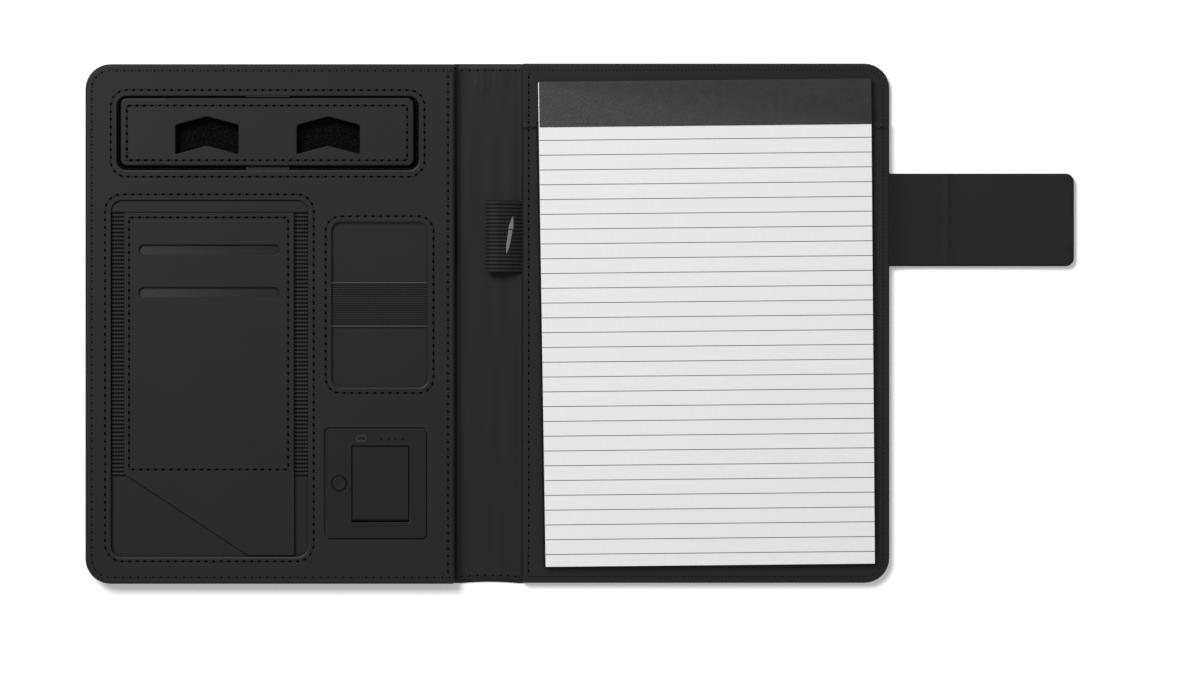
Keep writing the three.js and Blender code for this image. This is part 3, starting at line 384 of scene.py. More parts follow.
def paper_finish():
    """Uncoated paper with faint fibres; the stack's sides show its sheets."""
    finish = Finish("paper", 0.85, specular=0.2)
    fibres = finish.noise(1.4, 4.0, 0.6, stretch=(1, 0.35, 1))
    finish.toned(fibres, "paper", 0.985, 1.01)
    finish.bump(fibres, 0.15, 0.03)
    finish.bump(finish.bands(0.21, "Z"), 0.25, 0.08)
    return finish.material


def printed_finish(name, roughness, specular, size, detail, tone, dark, light):
    finish = Finish(name, roughness, specular=specular)
    finish.toned(finish.noise(size, detail), tone, dark, light)
    return finish.material


def binding_finish():
    """Charcoal paper with a pressed leather grain."""
    finish = Finish("binding_paper", 0.43, specular=0.22)
    cloud = finish.noise(4.5, 7.0, 0.68)
    grain = finish.noise(0.9, 4.0, 0.65)
    finish.toned(cloud, "binding", 0.6, 1.4)
    finish.rough(grain, 0.4, 0.58)
    finish.bump(finish.cells(1.1, "DISTANCE_TO_EDGE"), 0.35, 0.1)
    finish.bump(grain, 0.45, 0.1)
    return finish.material


def board_finish():
    finish = Finish("grey_board", 0.9, specular=0.2)
    fibres = finish.noise(2.2, 5.0, 0.7, stretch=(1, 0.4, 3))
    finish.toned(fibres, "board", 0.8, 1.12)
    finish.bump(fibres, 0.4, 0.08)
    return finish.material


def foam_finish():
    finish = Finish("foam_board", 0.95, specular=0.15)
    pores = finish.cells(0.5)
    # The pores' middles are painted darker, as shade in the pores
    finish.toned(pores, "foam", 0.6, 1.2, 0.1, 0.6)
    finish.bump(pores, 0.6, 0.15)
    return finish.material


def metal_finish(name, tone, roughness):
    finish = Finish(name, roughness, metallic=1.0)
    brushed = finish.noise(0.9, 3.0, 0.6, stretch=(1, 9, 9))
    finish.toned(brushed, tone, 0.9, 1.1)
    finish.rough(brushed, roughness - 0.06, roughness + 0.1)
    finish.bump(brushed, 0.08, 0.02)
    return finish.material


def foil_finish():
    finish = Finish("battery_foil", 0.42, metallic=0.35)
    creases = finish.noise(6.0, 5.0, 0.6)
    finish.toned(creases, "foil", 0.88, 1.08)
    finish.bump(creases, 0.3, 0.3)
    return finish.material


def circuit_finish():
    """Solder mask over copper tracks. The mask is kept near-black, which stands in for the shade in the ring of
    board seen round the button.
    """
    finish = Finish("circuit_board", 0.35)
    tracks = finish.combined("MAXIMUM", finish.bands(2.1, "X"), finish.bands(2.6, "Y"))
    finish.toned(tracks, "circuit", 0.8, 1.5, 0.75, 0.85)
    finish.bump(tracks, 0.2, 0.04)
    return finish.material


MATERIALS = {}


def make_materials():
    MATERIALS.update(
        leather_outer=leather_finish("outer_leather", "leather", 0.35),
        leather_lining=leather_finish("lining_leather", "lining", 0.25),
        thread=twisted_finish("thread", 0.9, 0.02, 30, 0.22, "thread", 0.7, 1.6, 0.5, 0.06),
        board=board_finish(),
        foam=foam_finish(),
        mesh=knit_finish(),
        elastic=elastic_finish("gusset_elastic", "gusset_left", "gusset_rib", 1.15, 0.1, 6.0),
        elastic_band=elastic_finish("band_elastic", "elastic_band", "band_rib", 0.6, 1.2, 4.6),
        elastic_loop=elastic_finish("loop_elastic", "pen_loop", "loop_rib", 0.7, 0.9, 5.2),
        piping=twisted_finish("piping_yarn", 0.6, 0.4, 35, 0.5, "elastic", 1.7, 3.6, 0.4, 0.1),
        plastic=plastic_finish("satin_plastic", "plastic", 0.42),
        # The lamps' lenses take the near-black thread colour, so they show as four dark dots
        light=plastic_finish("smoked_lens", "thread", 0.5, 0.1),
        steel=metal_finish("nickel_plate", "nickel", 0.32),
        magnet=metal_finish("magnet_plate", "nickel", 0.28),
        # The hinge pin's near-black colour is painted shade for the block's gap
        dark_steel=metal_finish("blackened_steel", "pin_shade", 0.5),
        battery=foil_finish(),
        lead_red=plastic_finish("red_lead", "lead", 0.45, 0.5),
        circuit=circuit_finish(),
        paper=paper_finish(),
        binding=binding_finish(),
        print=printed_finish("printed_line", 0.7, 0.2, 0.4, 2.0, "rule", 0.85, 1.2),
        mark=printed_finish("printed_mark", 0.6, 0.3, 0.5, 3.0, "mark", 0.85, 1.15),
        engraving=printed_finish("engraved_mark", 0.6, 0.3, 0.5, 3.0, "mark", 0.102, 0.138),
    )


# Shaping
def arc_up(radius):
    """Inset and rise of each step from an upright wall to a level top."""
    angles = [math.pi / 2 * k / ROLL_STEPS for k in range(ROLL_STEPS + 1)]
    return [
        (radius * (math.cos(a) - math.cos(b)), radius * (math.sin(b) - math.sin(a)))
        for a, b in zip(angles, angles[1:])
    ]


def arc_down(radius):
    """Inset and fall of each step from a level top to an upright wall."""
    return [(rise, -inset) for inset, rise in arc_up(radius)]


def arc_under(radius):
    """Inset and fall of each step from an upright wall to a level underside."""
    return [(inset, -rise) for inset, rise in arc_up(radius)]


def grid(bm, a, z, columns=1, rows=1):
    """Corners of a level grid that fills an area."""
    made = bmesh.ops.create_grid(
        bm, x_segments=columns, y_segments=rows, size=0.5,
        matrix=Matrix.Translation((*middle_of(a), z))
        @ Matrix.Diagonal((a.right - a.left, a.top - a.bottom, 1, 1)),
    )
    return made["verts"]


def round_corners(bm, corners, radius, steps):
    rounded = bmesh.ops.bevel(
        bm, geom=corners, offset=radius, offset_type="OFFSET", segments=steps,
        profile=0.5, affect="VERTICES", material=-1,
    )
    return rounded["verts"][0].link_faces[0]


def rounded_face(bm, a, z, steps=CORNER_STEPS):
    corners = grid(bm, a, z)
    face = corners[0].link_faces[0]
    middle = middle_of(a)[0]
    for radius, side in (
        (a.left_radius, [v for v in corners if v.co.x < middle]),
        (a.right_radius, [v for v in corners if v.co.x > middle]),
    ):
        if radius > 0:
            face = round_corners(bm, side, min(radius, (a.top - a.bottom) / 2 - 0.01), steps)
    return face


def round_face(bm, x, y, radius, z, segments):
    made = bmesh.ops.create_circle(
        bm, cap_ends=True, segments=segments, radius=radius,
        matrix=Matrix.Translation((x, y, z)),
    )
    return made["verts"][0].link_faces[0]


def polygon_face(bm, points, z, radius=0.0):
    face = bm.faces.new([bm.verts.new((x, y, z)) for x, y in points])
    face.normal_update()
    if face.normal.z < 0:
        face.normal_flip()
    if radius > 0:
        face = round_corners(bm, list(face.verts), radius, ROLL_STEPS)
    return face


def round_shape(x, y, radius, segments):
    return lambda bm, z, by: round_face(bm, x, y, radius + by, z, segments)


def polygon_shape(points, radius=0.0):
    return lambda bm, z, by: polygon_face(bm, points(by), z, radius)


def shape_inward(bm, face, steps, keep=False):
    """Insets a face step by step, each step going inward and up by so much."""
    for inward, rise in steps:
        bmesh.ops.inset_region(
            bm, faces=[face], thickness=inward, depth=rise,
            use_even_offset=True, use_boundary=True,
        )
    if not keep:
        bmesh.ops.delete(bm, geom=[face], context="FACES_ONLY")


def open_edges(bm, z):
    return [
        e for e in bm.edges if e.is_boundary and all(abs(v.co.z - z) < LEVEL for v in e.verts)
    ]


def weld(bm, *levels):
    """Joins what meets, fills what lies open at some heights and turns the faces outward."""
    bmesh.ops.remove_doubles(bm, verts=bm.verts, dist=LEVEL / 4)
    for z in levels:
        bmesh.ops.triangle_fill(bm, use_beauty=True, edges=open_edges(bm, z), normal=(0, 0, 1))
    bmesh.ops.recalc_face_normals(bm, faces=bm.faces)


def plate(shape, bottom, top, low_roll, high_roll, openings=(), lip=0.0):
    """A closed sheet with rounded edges. Its shape is an area or makes its own face at a
    height, grown by so much. Each opening is a shape and its roll, with a level lip round it."""
    def face_of(form, z, by=0.0):
        return form(bm, z, by) if callable(form) else rounded_face(bm, grow(form, by), z)

    bm = bmesh.new()
    level = bottom + low_roll
    shape_inward(bm, face_of(shape, level), [(0.0, top - high_roll - level)] + arc_up(high_roll))
    shape_inward(bm, face_of(shape, level), arc_under(low_roll))
    for opening, roll in openings:
        rim = ([(lip, 0.0)] if lip else []) + arc_down(roll) + [(0.0, bottom - top + roll)]
        shape_inward(bm, face_of(opening, top, roll + lip), rim)
    weld(bm, top, bottom)
    return bm


def bisect(bm, axis, place, clear=False):
    bmesh.ops.bisect_plane(
        bm, geom=bm.verts[:] + bm.edges[:] + bm.faces[:], dist=LEVEL / 4,
        plane_co=axis * place, plane_no=axis, clear_outer=clear,
    )


def cut(bm, axis, places):
    """Adds edges across a mesh so that it can bend or follow a curve."""
    for place in places:
        bisect(bm, axis, place)


def trim(bm, axis, place):
    """Cuts off what lies past a plane and closes the cut."""
    bisect(bm, axis, place, clear=True)
    edges = [e for e in bm.edges if e.is_boundary]
    if edges:
        bmesh.ops.triangle_fill(bm, use_beauty=True, edges=edges, normal=axis)


def steps_between(start, end, step):
    count = max(1, round((end - start) / step))
    return [start + (end - start) * k / count for k in range(count + 1)]


def add_mesh(bm, other):
    """Takes another mesh into this one."""
    mesh = bpy.data.meshes.new("part")
    other.to_mesh(mesh)
    other.free()
    bm.from_mesh(mesh)
    bpy.data.meshes.remove(mesh)


def put(
    name, bm, material, slot=None, body=None, thickness=0.0, place=TO_WORLD, angle=40, soft=False
):
    """Makes the object in its place, with soft faces and sharp edges kept apart."""
    if thickness:
        bmesh.ops.solidify(bm, geom=bm.faces[:], thickness=thickness)
    bm.transform(place)
    bm.normal_update()
    for f in bm.faces:
        f.smooth = soft or abs(f.normal.z) < 0.99995
    for e in bm.edges:
        e.smooth = len(e.link_faces) != 2 or e.calc_face_angle(0.0) < math.radians(angle)
    mesh = bpy.data.meshes.new(name)
    bm.to_mesh(mesh)
    bm.free()
    mesh.materials.append(MATERIALS[material])
    piece = bpy.data.objects.new(name, mesh)
    bpy.context.scene.collection.objects.link(piece)
    slot or material
    if body:
        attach(piece, body)
    return piece


def bend(piece, a, b, start, end):
    """Bakes the piece's place into its mesh; the two bodies and the two distances are not used."""
    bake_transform(piece)


# Sewing
SLANT = math.radians(5)
THREAD_FLATNESS = 0.4
PUCKER_LENGTH, PUCKER_WIDTH, PUCKER_FLATNESS = 0.9, 0.9, 0.35
STITCH_ANGLE = 80
RING_STEPS = 10


def ring_path(a):
    """Points round a rounded rectangle, from its lower left, counterclockwise."""
    path = []
    for x, y, to_x, to_y, radius, start in (
        (a.left, a.bottom, 1, 1, a.left_radius, math.pi),
        (a.right, a.bottom, -1, 1, a.right_radius, 1.5 * math.pi),
        (a.right, a.top, -1, -1, a.right_radius, 0.0),
        (a.left, a.top, 1, -1, a.left_radius, 0.5 * math.pi),
    ):
        centre = Vector((x + to_x * radius, y + to_y * radius))
        turns = RING_STEPS if radius > 0 else 0
        for k in range(turns + 1):
            angle = start + math.pi / 2 * k / max(turns, 1)
            path.append(centre + radius * Vector((math.cos(angle), math.sin(angle))))
    path.append(path[0])
    return path


def places_along(path, start):
    """Places and directions along a path of points, a stitch's pitch apart."""
    points = [Vector(p) for p in path]
    legs = [(b - a).length for a, b in zip(points, points[1:])]
    count = max(1, round(sum(legs) / mm("stitch_pitch")))
    step = sum(legs) / count
    leg, gone = 0, 0.0
    for k in range(count):
        target = (k + start) * step
        while leg < len(legs) - 1 and gone + legs[leg] < target:
            gone += legs[leg]
            leg += 1
        a, b = points[leg], points[leg + 1]
        share = (target - gone) / legs[leg] if legs[leg] else 0.0
        yield a.lerp(b, share), math.atan2(b.y - a.y, b.x - a.x)


def seam(name, body, rows, weight=1.0):
    """One piece of thread and one of the leather's puckers between the stitches. A row is
    its path, its height and, where it has gaps, a test of the places that are sewn."""
    width = mm("stitch_width")
    thread = (mm("stitch_length") * weight, width * weight, width * weight * THREAD_FLATNESS, 1)
    pucker = (PUCKER_LENGTH, width * PUCKER_WIDTH, width * PUCKER_FLATNESS, 1)
    pieces = []
    for kind, material, start, slant, size in (
        ("thread", "thread", 0.5, SLANT, thread),
        ("pucker", "leather_lining", 1.0, 0.0, pucker),
    ):
        bm = bmesh.new()
        for path, height, *limits in rows:
            for (x, y), angle in places_along(path, start):
                if all(limit(x, y) for limit in limits):
                    z = height(x, y) if callable(height) else height
                    turn = Matrix.Rotation(angle + slant, 4, "Z")
                    bmesh.ops.create_icosphere(
                        bm, subdivisions=1, radius=0.5,
                        matrix=Matrix.Translation((x, y, z)) @ turn @ Matrix.Diagonal(size),
                    )
        pieces.append(put(f"{name}_{kind}", bm, material, body=body, angle=STITCH_ANGLE))
    return pieces


# Pieces
class NotebookOperator:
    bl_options = {"REGISTER", "UNDO"}


FOLD_EASE = 2.0
SPINE_OVERLAP = 0.8
SPINE_BOW, SPINE_FOOT, SPINE_HEAD = 0.6, -0.25, 0.7
TRAY_ROLL, TRAY_LIP = 0.9, 0.25


def bend_at(piece, a, b, fold, ease=FOLD_EASE):
    """Hands the piece, its two bodies and a short stretch on both sides of a fold to bend, which only bakes its
    place.
    """
    bend(piece, a, b, fold - ease, fold + ease)


def spine_sag(x, y):
    """Height on the page of a place on the spine, whose lower end is a little hollow."""
    half = (FOLD_RIGHT - FOLD_LEFT) / 2
    bow = max(0.0, 1 - ((x - SPINE_MIDDLE) / half) ** 2)
    bottom, top = SPINE_BOW * bow + SPINE_FOOT, COVER_HEIGHT + SPINE_HEAD
    return bottom + (top - bottom) * y / COVER_HEIGHT


def skin_tray(cover, rim):
    """Leather wrapped round a cover: rounded below, turned over the rim."""
    bm = bmesh.new()
    up = [(0.0, rim - TRAY_LIP - TRAY_ROLL)] + arc_up(TRAY_LIP)
    up += [(SKIN - TRAY_LIP, 0.0), (0.0, SKIN - rim)]
    for steps in (up, arc_under(TRAY_ROLL)):
        shape_inward(bm, rounded_face(bm, cover, TRAY_ROLL), steps, keep=True)
    weld(bm)
    return bm


def skin_strip(start, end, fold):
    """The outer leather of half the spine."""
    bm = plate(area(start, 0.0, end, COVER_HEIGHT), 0.0, SKIN, 0.2, 0.2)
    cut(bm, ACROSS, steps_between(fold - 2.5, fold + 2.5, 0.5))
    cut(bm, ACROSS, steps_between(FOLD_LEFT + 3, FOLD_RIGHT - 3, 2.0))
    for v in bm.verts:
        v.co.y = spine_sag(v.co.x, v.co.y)
    return bm


class NOTEBOOK_OT_outer_leather(NotebookOperator, bpy.types.Operator):
    """Leather outside of both covers, with the spine's two halves"""

    bl_idname = "notebook.outer_leather"
    bl_label = "Outer leather"

    def execute(self, context):
        bm = skin_tray(LEFT, LEFT_RIM)
        add_mesh(bm, skin_strip(LEFT.right - SPINE_OVERLAP, SPINE_MIDDLE, FOLD_LEFT))
        left = put("left_cover_leather", bm, "leather_outer")
        bend_at(left, "left_cover", "spine", FOLD_LEFT)
        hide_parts("left_outer_skin", "spine_outer_skin")
        bm = skin_tray(RIGHT, RIGHT_RIM)
        add_mesh(bm, skin_strip(SPINE_MIDDLE, RIGHT.left + SPINE_OVERLAP, FOLD_RIGHT))
        right = put("right_cover_leather", bm, "leather_outer")
        bend_at(right, "spine", "right_cover", FOLD_RIGHT)
        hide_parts("right_outer_skin")
        return {"FINISHED"}


SPINE_INSET = 0.3
# Each crease runs from one place to another, so high and so wide
WRINKLES = (
    (170.0, 222.8, 169.4, 213.5, 0.09, 0.8),
    (172.8, 223.0, 172.2, 211.5, 0.11, 0.85),
    (175.2, 222.8, 175.0, 214.0, 0.07, 0.75),
    (177.4, 223.0, 177.7, 212.5, 0.1, 0.8),
    (180.2, 222.4, 182.6, 215.5, 0.1, 0.8),
    (181.5, 223.2, 187.4, 219.0, 0.16, 0.6),
    (184.8, 222.8, 189.2, 221.0, 0.1, 0.6),
    (172.0, 1.8, 171.5, 8.0, 0.06, 0.8),
    (179.0, 1.8, 180.0, 7.0, 0.06, 0.8),
)


def wrinkled(x, y):
    """Rise of the spine's leather at a place: creases, folds and turned ends."""
    z = 0.04 * math.sin(x * 0.7 + 1.2) * math.sin(y * 0.06 + 0.4)
    for x0, y0, x1, y1, height, width in WRINKLES:
        run, rise = x1 - x0, y1 - y0
        span = math.hypot(run, rise)
        share = ((x - x0) * run + (y - y0) * rise) / span ** 2
        off = ((y - y0) * run - (x - x0) * rise) / span
        if 0 < share < 1:
            z += 0.6 * height * math.sin(math.pi * share) * math.exp(-((off / width) ** 2))
    for fold in (FOLD_LEFT, FOLD_RIGHT):
        z -= 0.03 * math.exp(-(((x - fold) / 1.1) ** 2))
    z += 1.2 * max(0.0, (LEFT.right + 1.3 - x) / 1.3) ** 2
    end = min(y - spine_sag(x, SPINE_INSET), spine_sag(x, COVER_HEIGHT - SPINE_INSET) - y)
    return z - 0.3 * max(0.0, 1 - end / 0.7) ** 2


def spine_half(name, start, end):
    bm = bmesh.new()
    grid(bm, area(start, SPINE_INSET, end, COVER_HEIGHT - SPINE_INSET), 0, 36, 300)
    for v in bm.verts:
        x, y = v.co.x, spine_sag(v.co.x, v.co.y)
        v.co = (x, y, SPINE_TOP - 0.05 + wrinkled(x, y))
    piece = put(name, bm, "leather_lining", thickness=0.5, soft=True)
    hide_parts("spine_lining")
    return piece


class NOTEBOOK_OT_spine(NotebookOperator, bpy.types.Operator):
    """Leather lining of the spine, slightly creased, with the seams at its ends"""

    bl_idname = "notebook.spine"
    bl_label = "Spine lining"

    def execute(self, context):
        left = spine_half("spine_leather_left", LEFT.right + 0.03, SPINE_MIDDLE)
        bend_at(left, "left_cover", "spine", FOLD_LEFT)
        right = spine_half("spine_leather_right", SPINE_MIDDLE, RIGHT.left - 0.03)
        bend_at(right, "spine", "right_cover", FOLD_RIGHT)
        for side, start, end, fold, bodies in (
            ("left", LEFT.right + 1.2, SPINE_MIDDLE, FOLD_LEFT, ("left_cover", "spine")),
            ("right", SPINE_MIDDLE, RIGHT.left - 1.2, FOLD_RIGHT, ("spine", "right_cover")),
        ):
            rows = [
                (
                    [(x, spine_sag(x, y)) for x in steps_between(start, end, 1)],
                    lambda x, y: SPINE_TOP + wrinkled(x, y),
                )
                for y in (COVER_HEIGHT - mm("edge_seam"), mm("edge_seam"))
            ]
            for thread in seam(f"spine_{side}_seam", None, rows, weight=0.7):
                bend_at(thread, *bodies, fold)
        return {"FINISHED"}


RIM_FALL = 0.14


def rim_fall(place, window, roll):
    """How far a window's turned edge is pressed down at its right and lower sides."""
    corner = window.left_radius
    off_x = place.x - min(max(place.x, window.left + corner), window.right - corner)
    off_y = place.y - min(max(place.y, window.bottom + corner), window.top - corner)
    away = math.hypot(off_x, off_y)
    if place.z < LEFT_RIM + 0.2 or not abs(away - corner) < roll + 0.05:
        return 0.0
    return RIM_FALL * min(1.0, max(0.0, (off_x - off_y) / away))


class NOTEBOOK_OT_left_lining(NotebookOperator, bpy.types.Operator):
    """Leather face of the left cover with its three windows and the module's opening"""

    bl_idname = "notebook.left_lining"
    bl_label = "Left lining"

    def execute(self, context):
        roll = mm("window_roll")
        windows = (
            (BAY, "cable_bay_liner"), (PHONE, "pocket_backing"), (BAND, "band_window_backing")
        )
        openings = [(window, roll) for window, backing in windows]
        openings.append((grow(MODULE, -0.05), 0.1))
        bm = plate(
            grow(LEFT, -LINING_INSET), LEFT_RIM, LEFT_TOP, 0.02, mm("cover_roll"),
            openings, lip=0.5,
        )
        for window, backing in windows:
            for v in bm.verts:
                v.co.z -= rim_fall(v.co, window, roll)
        for window, backing in windows:
            floor = node_heights(backing)[1]
            wall = plate(grow(window, 0.5), floor, LEFT_RIM, 0.02, 0.02, [(window, 0.01)])
            add_mesh(bm, wall)
        piece = put("left_lining_leather", bm, "leather_lining", body="left_cover")
        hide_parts("left_lining")
        return {"FINISHED"}


POCKET_FOOT = RIGHT_TOP + 1.4
POCKET_PLY, POCKET_ROLL = 0.9, 0.4
PAD_ROOM, CAVITY_SHORT = 0.3, 6
HEM_WIDTH, HEM_RISE = 2.5, 0.35
LEFT_UPRIGHT, RIGHT_UPRIGHT, UPRIGHT_END = 157.3, 192.2, 3.6
HEM_SEAMS = ((190.9, 196.4), (343.6, 347.6))


def on_right(lift):
    """Height of a seam on the right cover's leather, lifted by so much."""
    def height(x, y):
        if y > MOUTH + 0.6:
            return RIGHT_TOP + lift
        return POCKET_FOOT + (HEM_RISE if y > MOUTH - 3.2 else 0.0) + lift

    return height


class NOTEBOOK_OT_seams(NotebookOperator, bpy.types.Operator):
    """Rows of stitches round both covers and the windows, with the covers' uprights and the pocket's hem"""

    bl_idname = "notebook.seams"
    bl_label = "Seams"

    def execute(self, context):
        ends = (UPRIGHT_END, COVER_HEIGHT - UPRIGHT_END)
        ring = grow(LEFT, -mm("edge_seam"))._replace(right=LEFT.right + 20, right_radius=0)
        edge = (ring_path(ring), LEFT_TOP + 0.02, lambda x, y: x < LEFT.right - 0.7)
        upright = ([(LEFT_UPRIGHT, y) for y in ends], LEFT_TOP + 0.02)
        seam("left_cover_seam", "left_cover", [edge], weight=0.66)
        seam("left_upright_seam", "left_cover", [upright], weight=0.85)
        rows = [
            (ring_path(grow(window, mm("window_seam"))), LEFT_TOP)
            for window in (moved(BAY, bottom=-0.4), moved(PHONE, bottom=0.5), BAND)
        ]
        seam("window_seam", "left_cover", rows)
        ring = grow(RIGHT, -mm("edge_seam"))._replace(left=RIGHT.left - 20, left_radius=0)
        edge = (ring_path(ring), on_right(0.02), lambda x, y: x > RIGHT.left + 0.9)
        upright = ([(RIGHT_UPRIGHT, y) for y in ends], on_right(0.02))
        hems = [([(x, MOUTH - 2.3) for x in hem], on_right(0.05)) for hem in HEM_SEAMS]
        seam("right_cover_seam", "right_cover", [edge], weight=0.45)
        seam("right_upright_seam", "right_cover", [upright], weight=0.85)
        seam("pocket_hem_seam", "right_cover", hems, weight=0.6)
        return {"FINISHED"}


def fanned(place):
    """Where a place on the pad lies: its sheets are pushed a little askew."""
    up = place.y / (PAD_HEIGHT / 2)
    out = place.x / (PAD_WIDTH / 2)
    push = 0.175 * out - 0.275 + (0.41 * out - 0.19) * up
    return PAD_PLACE @ Vector((place.x + push, place.y, place.z))


class NOTEBOOK_OT_right_lining(NotebookOperator, bpy.types.Operator):
    """Leather face of the right cover and the pocket that holds the note pad"""

    bl_idname = "notebook.right_lining"
    bl_label = "Right lining and pad pocket"

    def execute(self, context):
        bm = plate(grow(RIGHT, -LINING_INSET), RIGHT_RIM, RIGHT_TOP, 0.02, 0.5)
        lining = put("right_lining_leather", bm, "leather_lining", body="right_cover")
        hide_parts("right_lining")

        base, foot = RIGHT_TOP + 0.05, POCKET_FOOT
        top = node_heights("notepad_pocket")[1]
        half, end = PAD_WIDTH / 2, PAD_HEIGHT / 2
        cavity = grow(area(-half, -end, half, end - CAVITY_SHORT, 0.5), PAD_ROOM)
        ramp = [(0.2, share * (top - foot)) for share in (0.15, 0.35, 0.35, 0.15)]
        swelling = bmesh.new()
        face = rounded_face(swelling, grow(cavity, POCKET_PLY), foot)
        shape_inward(swelling, face, ramp, keep=True)
        face = rounded_face(swelling, cavity, base)
        shape_inward(swelling, face, [(0.0, top - POCKET_PLY - base)], keep=True)
        for v in swelling.verts:
            v.co = fanned(v.co)
        bm = bmesh.new()
        face = rounded_face(bm, grow(RIGHT, -0.4), base)
        shape_inward(bm, face, [(0.0, foot - POCKET_ROLL - base)] + arc_up(POCKET_ROLL))
        add_mesh(bm, swelling)
        for z in (foot, base):
            bmesh.ops.bridge_loops(bm, edges=open_edges(bm, z))
        bmesh.ops.recalc_face_normals(bm, faces=bm.faces)
        trim(bm, UP, MOUTH)
        cut(bm, UP, steps_between(MOUTH - HEM_WIDTH - 1.0, MOUTH - 0.3, 0.3))
        shoulder = RIGHT.left + 1.7
        cut(bm, ACROSS, [shoulder])
        for v in bm.verts:
            if v.co.z > base + 0.1:
                hem = min(1.0, max(0.0, (v.co.y - (MOUTH - HEM_WIDTH - 0.8)) / 0.8))
                v.co.z += HEM_RISE * hem - 0.2 * max(0.0, shoulder - v.co.x)
        pocket = put("pad_pocket_leather", bm, "leather_lining", body="right_cover")
        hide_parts("notepad_pocket")
        return {"FINISHED"}


KNIT_FLOOR, KNIT_ROLL = 0.6, 1.0
HINGE_EASE = 3.0
CHEVRON_OFFSET = 26.3
PANEL_SEAM = {"left": 2.8, "bottom": 2.4, "right": -2.8, "top": -3.4}
# The panel's left end hangs a little
SAG_RUN, SAG_DEPTH = 26.5, 0.5


def chevron(centre):
    """Shape of one of the bay's cut-outs."""
    def points(by):
        base, half, rise, side = PANEL.bottom + 5.0 - by, 13.6 + by, 3.8, 12.5 + 2 * by
        lower = [(centre - half, base), (centre, base + rise), (centre + half, base)]
        return lower + [(x, y + side) for x, y in reversed(lower)]

    return polygon_shape(points, 1.2)


def ribbed_sheet(name, a, top, thickness, pitch, depth, columns, fine, material, tuck=None):
    """Elastic with ribs across it, each so many rows fine. A tuck is the place where it
    dips beside an edge, and how deep."""
    bm = bmesh.new()
    run = a.top - a.bottom
    ribs = max(1, round(run / pitch))
    grid(bm, a, top, columns, ribs * fine)
    for v in bm.verts:
        v.co.z -= depth * (0.5 + 0.5 * math.cos(math.tau * (v.co.y - a.bottom) * ribs / run))
        if tuck:
            v.co.z -= tuck[1] * math.exp(-(((v.co.x - tuck[0]) / 0.7) ** 2))
    return put(name, bm, material, slot="elastic", thickness=thickness)


class NOTEBOOK_OT_cable_bay(NotebookOperator, bpy.types.Operator):
    """Knit-lined cable bay with its band and the panel's two leather wings"""

    bl_idname = "notebook.cable_bay"
    bl_label = "Cable bay"

    def execute(self, context):
        low, high = node_heights("cable_bay_liner")
        bm = bmesh.new()
        rounded_face(bm, grow(BAY, -0.3), low)
        shape_inward(bm, rounded_face(bm, grow(BAY, -0.3), low), [(0.0, high - low)])
        inside = [(0.0, low + KNIT_FLOOR + KNIT_ROLL - high)] + arc_under(KNIT_ROLL)
        shape_inward(bm, rounded_face(bm, grow(BAY, -0.9), high), inside, keep=True)
        weld(bm, high)
        liner = put("cable_bay_knit", bm, "mesh", body="left_cover")
        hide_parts("cable_bay_liner")

        low, high = node_heights("cable_centre_band")
        bm = plate(BAY_BAND, low, high, 0.1, 0.2)
        cut(bm, UP, steps_between(PANEL.bottom - 3.0, PANEL.bottom, 0.3))
        cut(bm, UP, steps_between(PANEL.top, PANEL.top + 2.4, 0.3))
        for v in bm.verts:
            below, above = max(PANEL.bottom - v.co.y, 0.0), max(v.co.y - PANEL.top, 0.0)
            v.co.z += 1.2 * min(1.0, below / 0.7) + 1.5 * min(1.0, above / 0.25)
        band = put("cable_bay_band", bm, "leather_lining", body="left_cover")
        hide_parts("cable_centre_band")
        self.wing(-1, BAY_BAND.left, "cable_wing_left", "cable_panel_centre")
        self.wing(1, BAY_BAND.right, "cable_wing_right")
        return {"FINISHED"}

    def wing(self, side, hinge, body, *more):
        """One of the panel's two halves, up to the middle of the bay."""
        low, high = node_heights(body)
        openings = [(chevron(BAY_MIDDLE + off), 0.45) for off in (-CHEVRON_OFFSET, CHEVRON_OFFSET)]
        bm = plate(PANEL, low, high, 0.25, 0.55, openings)
        trim(bm, ACROSS * -side, -side * BAY_MIDDLE)
        cut(bm, ACROSS, steps_between(hinge - 3.5, hinge + 3.5, 0.5))
        cut(bm, ACROSS, steps_between(PANEL.left + 1.5, PANEL.left + SAG_RUN, 2.5))
        cut(bm, UP, steps_between(PANEL.bottom + 1.5, PANEL.top - 1.5, 3.0))
        for v in bm.verts:
            v.co.z -= SAG_DEPTH * max(0.0, (PANEL.left + SAG_RUN - v.co.x) / SAG_RUN) ** 2
        piece = put(f"{body}_leather", bm, "leather_lining")
        start, end = hinge - side * HINGE_EASE, hinge + side * HINGE_EASE
        bend(piece, "left_cover", body, start, end)
        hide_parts(body, *more)
        row = ring_path(moved(PANEL, **PANEL_SEAM)._replace(left_radius=0.0, right_radius=0.0))
        keep = (lambda x, y: x < BAY_MIDDLE) if side < 0 else (lambda x, y: x >= BAY_MIDDLE)
        for thread in seam(f"{body}_seam", None, [(row, high + 0.02, keep)]):
            bend(thread, "left_cover", body, start, end)


SLOT_DOWN, SLOT_PITCH, SLOT_HEIGHT, SLOT_RADIUS = 14.1, 18.5, 4.3, 2.13
SLOTS_LEFT, SLOTS_RIGHT = POCKET.left + 6.6, POCKET.right - 6.6
SLOT_TOPS = (POCKET.top - SLOT_DOWN, POCKET.top - SLOT_DOWN - SLOT_PITCH)
CARD_SLOTS = [
    area(SLOTS_LEFT, top - SLOT_HEIGHT, SLOTS_RIGHT, top, SLOT_RADIUS) for top in SLOT_TOPS
]
